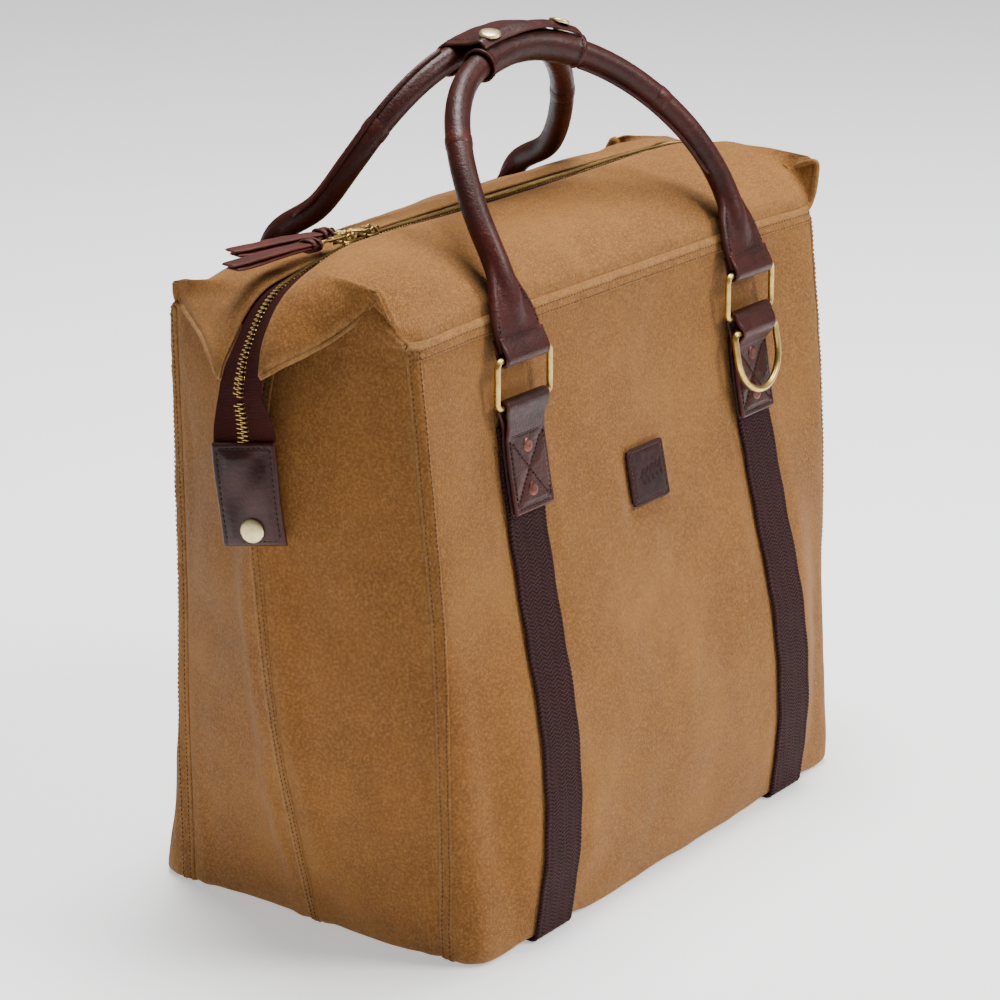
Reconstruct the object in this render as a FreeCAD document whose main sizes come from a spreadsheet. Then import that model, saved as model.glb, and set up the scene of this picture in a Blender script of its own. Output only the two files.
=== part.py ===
"""Weekender bag in waxed canvas with leather handles, brass rings and a zip that runs over the top.

Millimetres. +X is the bag's right when its front is looked at, -Y is the front and +Z is up. The origin is
on the floor under the middle of the bag.
"""
import FreeCAD, Part
import math
import os

import Sketcher

V = FreeCAD.Vector
doc = FreeCAD.newDocument("weekender_bag")

# ---------------------------------------------------------------- driving dimensions

# Outline of the canvas at each level: height, half depth of the flat of the front and back, then the side
# seam's half depth and half length, and the half length at the middle of the end, which swells outwards.
LEVELS = {
    "foot": (2, 129, 114, 204, 202),
    "heel": (60, 138, 107, 211, 225),
    "belly": (130, 134, 102, 216, 245),
    "waist": (210, 117, 97, 219, 257),
    "chest": (290, 101, 92, 221, 262),
    "rim": (386, 89, 87, 222, 238),
}
LEVEL_FIELDS = ("height", "flat", "seam_depth", "seam_length", "ridge")

SIZES = {
    "canvas_thick": 3.0,
    "flat_half_length": 162.0,
    "corner_inset": 14.0,
    "corner_round": 0.7,
    "floor_gap": 0.2,
    "strap_width": 38.0,
    "strap_thick": 2.0,
    "strap_foot_x": 139.5,
    "strap_rim_x": 127.0,
    "strap_top": 330.0,
    "board_length": 380.0,
    "board_depth": 220.0,
    "board_thick": 2.5,
    "board_corner": 20.0,
    "board_gap": 0.2,
    "lining_gap": 0.4,
    "lining_thick": 0.6,
    "zip_height": 424.5,
    "zip_straight_half": 195.0,
    "zip_bend": 73.0,
    "tape_thick": 1.0,
    "tape_edge": 17.0,
    "tape_inner": 3.4,
    "chain_half_width": 3.2,
    "chain_thick": 2.8,
    "tape_hinge_gap": 0.9,
    "chain_hinge_gap": 2.2,
    "tab_top": 322.0,
    "tab_bottom": 258.0,
    "tab_width": 43.0,
    "tab_thick": 4.4,
    "snap_height": 273.0,
    "snap_radius": 7.5,
    "snap_rise": 2.2,
    "cap_edge_share": 0.6,
    "snap_socket_radius": 5.5,
    "snap_socket_thick": 1.6,
    "stud_radius": 4.5,
    "stud_gap": 0.35,
    "ring_x": 128.5,
    "ring_bar_depth": 103.0,
    "ring_bar_height": 336.0,
    "ring_width": 54.0,
    "ring_height": 29.0,
    "ring_corner": 4.0,
    "ring_wire": 4.0,
    "bar_clearance": 0.05,
    "loop_radius": 5.5,
    "chape_width": 42.0,
    "chape_thick": 5.0,
    "chape_gap": 0.35,
    "chape_bottom": 268.0,
    "chape_neck": 4.0,
    "rivet_radius": 4.75,
    "rivet_rise": 1.4,
    "rivet_gap": 0.05,
    "rivet_upper": 308.0,
    "rivet_lower": 281.0,
    "dee_bar_depth": 107.5,
    "dee_bar_height": 326.5,
    "dee_width": 50.0,
    "dee_side": 16.0,
    "dee_corner": 4.0,
    "dee_wire": 4.5,
    "dee_lean": 10.0,
    "patch_width": 42.0,
    "patch_height": 38.0,
    "patch_thick": 2.0,
    "patch_centre": 259.0,
    "patch_corner": 3.0,
    "patch_gap": 0.2,
    "grip_radius": 8.0,
    "grip_bore": 5.6,
    "core_radius": 5.4,
    "end_width": 44.0,
    "end_thick": 7.0,
    "end_flat": 14.0,
    "end_overlap": 1.0,
    "bend_share": 0.45,
    "sleeve_half_length": 43.0,
    "sleeve_bore": 8.2,
    "sleeve_radius": 10.4,
    "flap_bore": 9.7,
    "flap_rise": 13.8,
    "flap_front_reach": 7.0,
    "flap_top_reach": 5.0,
    "wrap_stud_rise": 0.9,
    "wrap_stud_gap": 0.3,
    "wrap_cap_gap": 0.9,
    "flap_thick": 2.2,
    "wrap_snap_x": 30.0,
    "slider_length": 11.0,
    "slider_width": 9.6,
    "slider_left_x": -168.0,
    "slider_right_x": -145.0,
    "slider_gap": 0.3,
    "slider_roof": 1.6,
    "lug_height": 4.0,
    "lug_thick": 1.3,
    "lug_depth": 4.0,
    "lug_gap": 0.2,
    "pin_drop": 1.5,
    "pin_radius": 0.8,
    "pull_barrel": 1.8,
    "pull_bar_length": 20.0,
    "pull_bar_width": 5.0,
    "pull_bar_thick": 1.8,
    "pull_neck": 4.5,
    "pull_left_yaw": 0.0,
    "pull_right_yaw": 30.0,
    "lace_length": 76.0,
    "lace_left_yaw": 5.0,
    "lace_right_yaw": -16.0,
    "lace_gap": 0.8,
    "lace_width": 11.0,
    "lace_thick": 4.0,
}
for level, values in LEVELS.items():
    for field, value in zip(LEVEL_FIELDS, values):
        SIZES[f"{level}_{field}"] = float(value)

sheet = doc.addObject("Spreadsheet::Sheet", "params")
for row, (alias, value) in enumerate(SIZES.items(), start=1):
    sheet.set(f"A{row}", alias)
    sheet.set(f"B{row}", str(value))
    sheet.setAlias(f"B{row}", alias)
doc.recompute()


def size(alias):
    return float(sheet.get(alias))


# The two handles' centre lines, from the top of one end piece to the top of the other. They lean in from
# the rings and meet, side by side, at the middle. The pair is turned a little, as it stands when snapped.
FRONT_GRIP = [
    (-128.5, -86, 410), (-122, -63, 445), (-107, -41.5, 473), (-86, -24, 494), (-59, -12, 509),
    (-27, -8, 518), (5, -10.5, 521), (36, -19.5, 515.5), (66, -33.5, 501.5), (93.5, -50.5, 479),
    (114.5, -69, 449), (127.5, -86, 410),
]
BACK_GRIP = [
    (-128, 86, 410), (-121.5, 56, 433), (-109.5, 39.5, 460), (-91, 28.5, 485), (-65, 20, 505.5),
    (-30, 14, 519), (12, 9.5, 523), (50, 9.5, 514), (81, 16.5, 493), (103.5, 30, 464),
    (118.5, 50, 433), (128, 86, 410),
]

parts = {}


def keep(label, feature):
    """Give a sub-part its name and list it for export."""
    feature.Label = label
    parts[label] = feature
    return feature


def shaped(label, shape):
    """A sub-part whose shape is worked out here, for the sewn pieces that no primitive fits."""
    feature = doc.addObject("Part::Feature", label)
    feature.Shape = shape
    return keep(label, feature)


# ---------------------------------------------------------------- plane geometry


def line_crossing(p, d, q, e):
    """Where the line through p along d meets the line through q along e."""
    t = ((q[0] - p[0]) * e[1] - (q[1] - p[1]) * e[0]) / (d[0] * e[1] - d[1] * e[0])
    return p[0] + d[0] * t, p[1] + d[1] * t


def offset_chain(points, distance, closed=False):
    """Points moved to the left of their direction of travel by distance, with mitred corners."""
    count = len(points)
    pairs = [(i, (i + 1) % count) for i in range(count if closed else count - 1)]
    moved = []
    for a, b in pairs:
        dx, dy = points[b][0] - points[a][0], points[b][1] - points[a][1]
        length = math.hypot(dx, dy)
        across, up = -dy / length * distance, dx / length * distance
        moved.append(((points[a][0] + across, points[a][1] + up), (dx, dy)))
    corners = [line_crossing(*moved[i - 1], *moved[i]) for i in range(0 if closed else 1, len(moved))]
    if closed:
        return corners
    start, direction = moved[-1]
    return [moved[0][0]] + corners + [(start[0] + direction[0], start[1] + direction[1])]


def wire(points):
    return Part.makePolygon([V(*p) for p in points] + [V(*points[0])])


def mirror_y(shape):
    return shape.mirror(V(0, 0, 0), V(0, 1, 0))


def mirror_x(shape):
    return shape.mirror(V(0, 0, 0), V(1, 0, 0))


def flat_depth(height):
    """Half depth of the front's flat at a height, between the levels that the sheet gives."""
    rows = [(size(f"{name}_height"), size(f"{name}_flat")) for name in LEVELS]
    for (low, near), (high, far) in zip(rows, rows[1:]):
        if height <= high:
            return near + (far - near) * (height - low) / (high - low)
    return rows[-1][1]


def strap_x(height):
    """Distance of a strap's centre line from the middle: the straps close in a little as they rise."""
    foot, rim = size("strap_foot_x"), size("strap_rim_x")
    return foot + (rim - foot) * height / size("rim_height")


# ---------------------------------------------------------------- canvas shell


def outline(level, inset=0.0):
    """The bag's plan at one level, anticlockwise from the right-hand end of the front's flat."""
    flat, seam_y, seam_x, ridge = (size(f"{level}_{field}") for field in LEVEL_FIELDS[1:])
    corner_x = seam_x - size("corner_inset")
    corner_y = seam_y + size("corner_round") * (flat - seam_y)
    half = size("flat_half_length")
    right = [(half, -flat), (corner_x, -corner_y), (seam_x, -seam_y), (ridge, 0.0),
             (seam_x, seam_y), (corner_x, corner_y), (half, flat)]
    left = [(-x, -y) for x, y in right]
    return offset_chain(right + left, inset, closed=True) if inset else right + left


def wall(chain, outer_inset, inner_inset):
    """A sewn wall: the part of the outline between the named corners, lofted from foot to rim."""
    sections = []
    for level in LEVELS:
        height = size(f"{level}_height")
        outer, inner = outline(level, outer_inset), outline(level, inner_inset)
        loop = [outer[i] for i in chain] + [inner[i] for i in reversed(chain)]
        sections.append(wire([(x, y, height) for x, y in loop]))
    return Part.makeLoft(sections, True, True)


WALLS = {
    "front_panel": (11, 12, 13, 0, 1, 2),
    "right_end_front": (2, 3),
    "right_end_back": (3, 4),
    "back_panel": (4, 5, 6, 7, 8, 9),
    "left_end_back": (9, 10),
    "left_end_front": (10, 11),
}


def make_walls():
    for label, chain in WALLS.items():
        shaped(label, wall(chain, 0.0, size("canvas_thick")))


def above(shape, height):
    """The part of a shape that is higher than a level."""
    box = shape.BoundBox
    corner = V(box.XMin - 1, box.YMin - 1, height)
    slab = Part.makeBox(box.XLength + 2, box.YLength + 2, box.ZMax - height + 1, corner)
    return shape.common(slab)


def make_floor_and_lining():
    foot, thick = size("foot_height"), size("canvas_thick")
    floor = Part.Face(wire([(x, y, foot) for x, y in outline("foot", thick + size("floor_gap"))]))
    shaped("bottom_panel", floor.extrude(V(0, 0, thick)))

    board_top = foot + thick + 2 * size("board_gap") + size("board_thick")
    skin = thick + size("lining_gap")

    def filled(inset):
        sections = []
        for level in LEVELS:
            height = size(f"{level}_height")
            sections.append(wire([(x, y, height) for x, y in outline(level, inset)]))
        return Part.makeLoft(sections, True, True)

    underside = board_top + size("lining_gap")
    outer = above(filled(skin), underside)
    inner = above(filled(skin + size("lining_thick")), underside + size("lining_thick"))
    shaped("lining", outer.cut(inner))


def origin_plane(body, role):
    return next(f for f in body.Origin.OriginFeatures if f.Role == role)


def new_sketch(body, role, name):
    sketch = body.newObject("Sketcher::SketchObject", name)
    sketch.AttachmentSupport = [(origin_plane(body, role), "")]
    sketch.MapMode = "FlatFace"
    return sketch


def centred_rectangle(sketch, width, height):
    """A rectangle about the sketch's origin whose sides follow two expressions."""
    corners = [V(-10, -5, 0), V(10, -5, 0), V(10, 5, 0), V(-10, 5, 0)]
    sketch.addGeometry([Part.LineSegment(corners[i], corners[(i + 1) % 4]) for i in range(4)], False)
    add = sketch.addConstraint
    for i in range(4):
        add(Sketcher.Constraint("Coincident", i, 2, (i + 1) % 4, 1))
    for i, kind in enumerate(("Horizontal", "Vertical", "Horizontal", "Vertical")):
        add(Sketcher.Constraint(kind, i))
    add(Sketcher.Constraint("Symmetric", 0, 1, 2, 1, -1, 1))
    across = add(Sketcher.Constraint("DistanceX", 0, 1, 0, 2, 20.0))
    up = add(Sketcher.Constraint("DistanceY", 1, 1, 1, 2, 10.0))
    sketch.renameConstraint(across, "across")
    sketch.renameConstraint(up, "up")
    sketch.setExpression("Constraints.across", width)
    sketch.setExpression("Constraints.up", height)


def plate_body(label, width, height, thick, corner):
    """A flat plate with rounded corners, padded from a rectangle. Sizes are given by their sheet names."""
    body = doc.addObject("PartDesign::Body", label)
    sketch = new_sketch(body, "XY_Plane", f"{label}_outline")
    centred_rectangle(sketch, f"params.{width}", f"params.{height}")
    pad = body.newObject("PartDesign::Pad", f"{label}_pad")
    pad.Profile = sketch
    pad.setExpression("Length", f"params.{thick}")
    doc.recompute()
    normal = sketch.Placement.Rotation.multVec(V(0, 0, 1))
    uprights = [
        f"Edge{i}" for i, edge in enumerate(pad.Shape.Edges, start=1)
        if edge.tangentAt(edge.FirstParameter).isEqual(normal, 1e-6)
        or edge.tangentAt(edge.FirstParameter).isEqual(-normal, 1e-6)
    ]
    fillet = body.newObject("PartDesign::Fillet", f"{label}_corners")
    fillet.Base = (pad, uprights)
    fillet.Radius = 1.0
    fillet.setExpression("Radius", f"params.{corner}")
    body.Tip = fillet
    return keep(label, body)


def make_board():
    board = plate_body("base_board", "board_length", "board_depth", "board_thick", "board_corner")
    board.Placement.Base = V(0, 0, size("foot_height") + size("canvas_thick") + size("board_gap"))


# ---------------------------------------------------------------- top panels and zip

# The top panel's section at each distance from the middle, from the sewn top edge of the front panel to the
# zip. Past the ends it narrows to a hood that goes down with the zip over the end of the bag.
CROWN = [
    (150, [(-87.5, 388.3), (-78.5, 403), (-48, 419.5), (-17, 424)]),
    (222, [(-87, 388), (-84, 413), (-52, 422.5), (-17, 419.5)]),
    (245, [(-47, 379), (-45, 389), (-31, 399), (-17, 404)]),
    (264, [(-25, 359), (-24, 364), (-21, 369), (-17, 374)]),
]
HOOD_STARTS = 230


def make_top_panels():
    thick = size("canvas_thick")
    sections = []
    for x, chain in [(-x, chain) for x, chain in reversed(CROWN)] + CROWN:
        depth = thick if abs(x) < HOOD_STARTS else thick / 2
        loop = chain + offset_chain(chain, -depth)[::-1]
        sections.append(wire([(x, y, z) for y, z in loop]))
    front = Part.makeLoft(sections, True, True)
    shaped("top_panel_front", front)
    shaped("top_panel_back", mirror_y(front))


def zip_strip(thick, near, far, hinge_gap):
    """A strip along the zip: over the top, round both bends and down to the hinge lines of the tails."""
    straight, bend = size("zip_straight_half"), size("zip_bend")
    centre = size("zip_height") - bend

    def ring(radius):
        lowest, highest = math.asin(hinge_gap / radius), math.pi / 2
        points = [(straight + radius * math.cos(a), centre + radius * math.sin(a))
                  for a in (lowest, (lowest + highest) / 2, highest)]
        return [V(x, near, z) for x, z in points], [V(-x, near, z) for x, z in reversed(points)]

    outer_right, outer_left = ring(bend + thick / 2)
    inner_right, inner_left = ring(bend - thick / 2)
    edges = [
        Part.Arc(*outer_right).toShape(), Part.makeLine(outer_right[-1], outer_left[0]),
        Part.Arc(*outer_left).toShape(), Part.makeLine(outer_left[-1], inner_left[-1]),
        Part.Arc(*reversed(inner_left)).toShape(), Part.makeLine(inner_left[0], inner_right[-1]),
        Part.Arc(*reversed(inner_right)).toShape(), Part.makeLine(inner_right[0], outer_right[0]),
    ]
    return Part.Face(Part.Wire(edges)).extrude(V(0, far - near, 0))


def hinge_point():
    """The fold line of the right-hand tail, at the foot of the zip's bend."""
    return size("zip_straight_half") + size("zip_bend"), size("zip_height") - size("zip_bend")


def make_zip():
    inner, edge, thick = size("tape_inner"), size("tape_edge"), size("tape_thick")
    tape = zip_strip(thick, -edge, -inner, size("tape_hinge_gap"))
    shaped("front_zip_tape", tape)
    shaped("back_zip_tape", mirror_y(tape))
    half = size("chain_half_width")
    shaped("zip_chain", zip_strip(size("chain_thick"), -half, half, size("chain_hinge_gap")))


def dome(radius, rise, centre, axis):
    """A pressed metal cap: a disc with a rounded rim, standing on centre and rising along axis."""
    disc = Part.makeCylinder(radius, rise, V(*centre), V(*axis))
    rim = max(disc.Edges, key=lambda edge: edge.CenterOfMass.dot(V(*axis)))
    return disc.makeFillet(rise * size("cap_edge_share"), [rim])


def make_tails():
    """The zip's loose end at each end of the bag, with its leather tab and snap."""
    fold_x, fold_z = hinge_point()
    top, bottom, thick = size("tab_top"), size("tab_bottom"), size("tab_thick")
    edge, inner = size("tape_edge"), size("tape_inner")
    snap = size("snap_height")
    half, tape_half = size("chain_half_width"), size("tape_thick") / 2
    for side, sign in (("left", -1), ("right", 1)):
        tape = Part.makeBox(2 * tape_half, edge - inner, fold_z - top, V(fold_x - tape_half, inner, top))
        tape = tape.fuse(Part.makeCylinder(tape_half, edge - inner, V(fold_x, inner, fold_z), V(0, 1, 0)))
        chain_length = fold_z - size("chain_hinge_gap") - top
        chain = Part.makeBox(
            size("chain_thick"), 2 * half, chain_length, V(fold_x - size("chain_thick") / 2, -half, top)
        )
        tab = Part.makeBox(
            thick, size("tab_width"), top - bottom, V(fold_x - thick / 2, -size("tab_width") / 2, bottom)
        )
        cap = dome(size("snap_radius"), size("snap_rise"), (fold_x + thick / 2, 0, snap), (1, 0, 0))
        socket = Part.makeCylinder(
            size("snap_socket_radius"), size("snap_socket_thick"),
            V(fold_x - thick / 2 - size("snap_socket_thick"), 0, snap), V(1, 0, 0),
        )
        pieces = {
            "tail_tape": Part.makeCompound([tape, mirror_y(tape)]),
            "tail_chain": chain,
            "end_tab": tab,
            "snap_cap": cap,
            "snap_socket": socket,
        }
        for name, shape in pieces.items():
            shaped(f"{side}_{name}", shape if sign > 0 else mirror_x(shape))


def make_end_studs():
    """The fixed half of each end snap, on the ridge of the end."""
    fold_x = hinge_point()[0]
    inner_face = fold_x - size("tab_thick") / 2 - size("snap_socket_thick")
    waist, chest = size("waist_ridge"), size("chest_ridge")
    share = (size("snap_height") - size("waist_height")) / (size("chest_height") - size("waist_height"))
    wall_x = waist + (chest - waist) * share
    foot_x = wall_x + size("stud_gap")
    length = inner_face - size("stud_gap") - foot_x
    stud = Part.makeCylinder(size("stud_radius"), length, V(foot_x, 0, size("snap_height")), V(1, 0, 0))
    shaped("end_snap_studs", Part.makeCompound([stud, mirror_x(stud)]))


# ---------------------------------------------------------------- straps, chapes and rings


def make_straps():
    """Webbing up the front, under the bottom and up the back, in one length a side."""
    heights = [size(f"{name}_height") for name in LEVELS]
    top = size("strap_top")
    side = [(-flat_depth(z), z) for z in [top] + [z for z in reversed(heights) if z < top]]
    inner = side + [(-y, z) for y, z in reversed(side)]
    outer = offset_chain(inner, -size("strap_thick"))
    loop = inner + outer[::-1]
    for name, sign in (("left_strap", -1), ("right_strap", 1)):
        near_edge = [(sign * strap_x(z) - size("strap_width") / 2, y, z) for y, z in loop]
        shaped(name, Part.Face(wire(near_edge)).extrude(V(size("strap_width"), 0, 0)))


def chape_shape(x, holds_dee):
    """Leather folded round the ring's lower bar and riveted over the strap. Front face, towards -Y."""
    gap = size("strap_thick") + size("chape_gap")
    heights = (size("chape_bottom"), size("chest_height"), size("ring_bar_height") - size("chape_neck"))
    back = [(-flat_depth(z) - gap, z) for z in heights]
    front = offset_chain(back, size("chape_thick"))
    width = size("chape_width")
    left = x - width / 2
    shape = Part.Face(wire([(left, y, z) for y, z in back + front[::-1]])).extrude(V(width, 0, 0))
    bars = [(size("ring_bar_depth"), size("ring_bar_height"), size("ring_wire"))]
    if holds_dee:
        bars.append((size("dee_bar_depth"), size("dee_bar_height"), size("dee_wire")))
    for depth, height, _ in bars:
        shape = shape.fuse(Part.makeCylinder(size("loop_radius"), width, V(left, -depth, height), V(1, 0, 0)))
    for depth, height, bar in bars:
        bore = bar / 2 + size("bar_clearance")
        shape = shape.cut(Part.makeCylinder(bore, width + 2, V(left - 1, -depth, height), V(1, 0, 0)))
    return shape.removeSplitter()


def make_chapes():
    x = size("ring_x")
    for name, sign, holds_dee, flip in (
        ("front_left_chape", -1, False, False), ("front_right_chape", 1, True, False),
        ("back_left_chape", -1, True, True), ("back_right_chape", 1, False, True),
    ):
        shape = chape_shape(sign * x, holds_dee)
        shaped(name, mirror_y(shape) if flip else shape)


def make_rivets():
    """Two rivet caps on each chape, each standing square to the leather."""
    rise, radius = size("rivet_rise"), size("rivet_radius")
    skin = size("strap_thick") + size("chape_gap") + size("chape_thick")
    caps = []
    for height in (size("rivet_upper"), size("rivet_lower")):
        slope = (flat_depth(height - 1) - flat_depth(height + 1)) / 2
        normal = V(0, -1, slope).normalize()
        foot = V(0, -flat_depth(height), height) + normal * (skin + size("rivet_gap"))
        for sign in (-1, 1):
            place = (sign * size("ring_x"), foot.y, foot.z)
            caps.append(dome(radius, rise, place, (normal.x, normal.y, normal.z)))
    caps += [mirror_y(cap) for cap in caps]
    shaped("chape_rivets", Part.makeCompound(caps))


def pipe_body(label, geometry, wire_size):
    """Round wire bent along a closed line in the body's XY plane that starts at its origin, along X."""
    body = doc.addObject("PartDesign::Body", label)
    spine = new_sketch(body, "XY_Plane", f"{label}_line")
    spine.addGeometry(geometry, False)
    for i in range(len(geometry) - 1):
        spine.addConstraint(Sketcher.Constraint("Coincident", i, 2, i + 1, 1))
    doc.recompute()
    section = new_sketch(body, "YZ_Plane", f"{label}_section")
    section.addGeometry(Part.Circle(V(0, 0, 0), V(0, 0, 1), 1.0), False)
    section.addConstraint(Sketcher.Constraint("Coincident", 0, 3, -1, 1))
    radius = section.addConstraint(Sketcher.Constraint("Radius", 0, 1.0))
    section.renameConstraint(radius, "wire")
    section.setExpression("Constraints.wire", f"{wire_size} / 2")
    doc.recompute()
    pipe = body.newObject("PartDesign::AdditivePipe", f"{label}_pipe")
    pipe.Profile = section
    pipe.Spine = (spine, [f"Edge{i + 1}" for i in range(len(geometry))])
    return keep(label, body)


def arc(x, y, radius, start, end):
    """An arc of a circle in the XY plane, between two angles in degrees."""
    circle = Part.Circle(V(x, y, 0), V(0, 0, 1), radius)
    return Part.ArcOfCircle(circle, math.radians(start), math.radians(end))


def line(x0, y0, x1, y1):
    return Part.LineSegment(V(x0, y0, 0), V(x1, y1, 0))


def ring_line():
    """A rectangular ring's centre line: the lower bar lies along X through the origin."""
    half, high, r = size("ring_width") / 2, size("ring_height"), size("ring_corner")
    return [
        line(0, 0, half - r, 0), arc(half - r, r, r, -90, 0), line(half, r, half, high - r),
        arc(half - r, high - r, r, 0, 90), line(half - r, high, r - half, high),
        arc(r - half, high - r, r, 90, 180), line(-half, high - r, -half, r),
        arc(r - half, r, r, 180, 270), line(r - half, 0, 0, 0),
    ]


def dee_line():
    """A D ring's centre line: the straight bar lies along X through the origin and the bow is above it."""
    half, side, r = size("dee_width") / 2, size("dee_side"), size("dee_corner")
    return [
        line(0, 0, half - r, 0), arc(half - r, r, r, -90, 0), line(half, r, half, side),
        arc(0, side, half, 0, 180), line(-half, side, -half, r), arc(r - half, r, r, 180, 270),
        line(r - half, 0, 0, 0),
    ]


def make_rings():
    upright = FreeCAD.Rotation(V(1, 0, 0), 90)
    for name, sign_x, sign_y in (
        ("front_left_ring", -1, -1), ("front_right_ring", 1, -1),
        ("back_left_ring", -1, 1), ("back_right_ring", 1, 1),
    ):
        ring = pipe_body(name, ring_line(), "params.ring_wire")
        base = V(sign_x * size("ring_x"), sign_y * size("ring_bar_depth"), size("ring_bar_height"))
        ring.Placement = FreeCAD.Placement(base, upright)
    for name, sign_x, sign_y in (("front_dee_ring", 1, -1), ("back_dee_ring", -1, 1)):
        dee = pipe_body(name, dee_line(), "params.dee_wire")
        base = V(sign_x * size("ring_x"), sign_y * size("dee_bar_depth"), size("dee_bar_height"))
        hanging = FreeCAD.Rotation(V(1, 0, 0), -90 + sign_y * size("dee_lean"))
        dee.Placement = FreeCAD.Placement(base, hanging)


def make_patch():
    """A small square of leather sewn on the middle of the front, leaning with the cloth."""
    centre = size("patch_centre")
    patch = plate_body("front_patch", "patch_width", "patch_height", "patch_thick", "patch_corner")
    slope = math.degrees(math.atan((flat_depth(centre - 10) - flat_depth(centre + 10)) / 20))
    turn = FreeCAD.Rotation(V(1, 0, 0), 90 - slope)
    patch.Placement = FreeCAD.Placement(V(0, -flat_depth(centre) - size("patch_gap"), centre), turn)


# ---------------------------------------------------------------- handles


def smooth_path(points):
    """Straight runs joined by tangent arcs, each arc as large as its two runs allow."""
    points = [V(*p) for p in points]
    edges, start = [], points[0]
    for before, corner, after in zip(points, points[1:], points[2:]):
        arrive, leave = corner - before, after - corner
        reach = size("bend_share") * min(arrive.Length, leave.Length)
        arrive.normalize()
        leave.normalize()
        turn = arrive.getAngle(leave)
        inward = (leave - arrive).normalize()
        first, last = corner - arrive * reach, corner + leave * reach
        radius = reach / math.tan(turn / 2)
        middle = corner + inward * (radius / math.cos(turn / 2) - radius)
        edges += [Part.makeLine(start, first), Part.Arc(first, middle, last).toShape()]
        start = last
    edges.append(Part.makeLine(start, points[-1]))
    return Part.Wire(edges)


def rod(path, radius):
    start = path.Edges[0].firstVertex().Point
    along = path.Edges[0].tangentAt(path.Edges[0].FirstParameter)
    return path.makePipeShell([Part.Wire(Part.makeCircle(radius, start, along))], True, True)


def end_piece(top, along, bar):
    """The flat end of a handle: round where it meets the grip, wide and thin where it loops over the bar."""
    top, along, bar = V(*top), V(*along), V(*bar)
    rise = (top - bar).normalize()
    width, thick = size("end_width"), size("end_thick")
    waist = bar + rise * size("end_flat")
    round_end = Part.Wire(Part.makeCircle(size("grip_radius"), top, along))
    across = V(1, 0, 0)
    normal = rise.cross(across).normalize()
    ellipse = Part.Ellipse(waist + across * (width / 2), waist + normal * (thick / 2), waist)
    flat_end = Part.Wire(ellipse.toShape())
    neck = Part.makeLoft([flat_end, round_end], True, False)
    corner = bar - across * (width / 2) - normal * (thick / 2)
    far = corner + across * width
    edge = [corner, far, far + normal * thick, corner + normal * thick]
    slab = Part.Face(wire(edge)).extrude(rise * (size("end_flat") + size("end_overlap")))
    loop = Part.makeCylinder(size("loop_radius"), width, bar - across * (width / 2), across)
    bore = size("ring_wire") / 2 + size("bar_clearance")
    hole = Part.makeCylinder(bore, width + 2, bar - across * (width / 2 + 1), across)
    return neck.fuse([slab, loop]).removeSplitter().cut(hole)


def make_handle(name, sign_y, points):
    path = smooth_path(points)
    shaped(f"{name}_handle_grip", rod(path, size("grip_radius")).cut(rod(path, size("grip_bore"))))
    shaped(f"{name}_handle_core", rod(path, size("core_radius")))
    bar_height = size("ring_bar_height") + size("ring_height")
    ends = (("left", points[0], points[1], -1), ("right", points[-1], points[-2], 1))
    for side, end, beside, sign_x in ends:
        along = V(*beside) - V(*end)
        bar = (sign_x * size("ring_x"), sign_y * size("ring_bar_depth"), bar_height)
        shaped(f"{name}_handle_{side}_end", end_piece(end, (along.x, along.y, along.z), bar))
    return path


def point_at(points, x):
    """The (y, z) of a handle's centre line where it passes a distance from the middle."""
    for a, b in zip(points, points[1:]):
        if a[0] <= x <= b[0]:
            share = (x - a[0]) / (b[0] - a[0])
            return a[1] + (b[1] - a[1]) * share, a[2] + (b[2] - a[2]) * share
    raise ValueError(f"no point at {x}")


def make_wrap(front_path):
    """The grip wrap: a sleeve sewn round the front handle, and a flap that goes round the back handle."""
    half = size("sleeve_half_length")
    lowest = min(point_at(FRONT_GRIP, x)[1] for x in (-half, half)) - 2 * size("sleeve_radius")
    band = Part.makeBox(2 * half, 2 * half, 2 * half, V(-half, -half, lowest))
    sleeve = rod(front_path, size("sleeve_radius")).common(band).cut(rod(front_path, size("sleeve_bore")))
    shaped("wrap_sleeve", sleeve)

    bore, rise = size("flap_bore"), size("flap_rise")
    sections = []
    for step in range(-2, 3):
        x = half * step / 2
        (front_y, front_z), (back_y, back_z) = point_at(FRONT_GRIP, x), point_at(BACK_GRIP, x)
        around = [(back_y + bore * math.cos(math.radians(a)), back_z + bore * math.sin(math.radians(a)))
                  for a in range(-120, 91, 30)]
        over = front_z + rise
        back_edge, front_edge = front_y + size("flap_top_reach"), front_y - size("flap_front_reach")
        chain = around + [(back_edge, over), (front_edge, over)]
        loop = chain + offset_chain(chain, -size("flap_thick"))[::-1]
        sections.append(wire([(x, y, z) for y, z in loop]))
    shaped("wrap_flap", Part.makeLoft(sections, True, True))

    caps, studs = [], []
    for sign in (-1, 1):
        x = sign * size("wrap_snap_x")
        (y, z), (_, ahead) = point_at(FRONT_GRIP, x), point_at(FRONT_GRIP, x + 1)
        normal = V(z - ahead, 0, 1).normalize()
        foot = V(x, y, z)
        cap_foot = foot + normal * (rise + size("flap_thick") + size("wrap_cap_gap"))
        stud_foot = foot + normal * (size("sleeve_radius") + size("wrap_stud_gap"))
        caps.append(dome(size("snap_radius"), size("snap_rise"), tuple(cap_foot), tuple(normal)))
        studs.append(Part.makeCylinder(size("stud_radius"), size("wrap_stud_rise"), stud_foot, normal))
    shaped("wrap_snap_caps", Part.makeCompound(caps))
    shaped("wrap_snap_studs", Part.makeCompound(studs))


# ---------------------------------------------------------------- zip sliders and pulls


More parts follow.
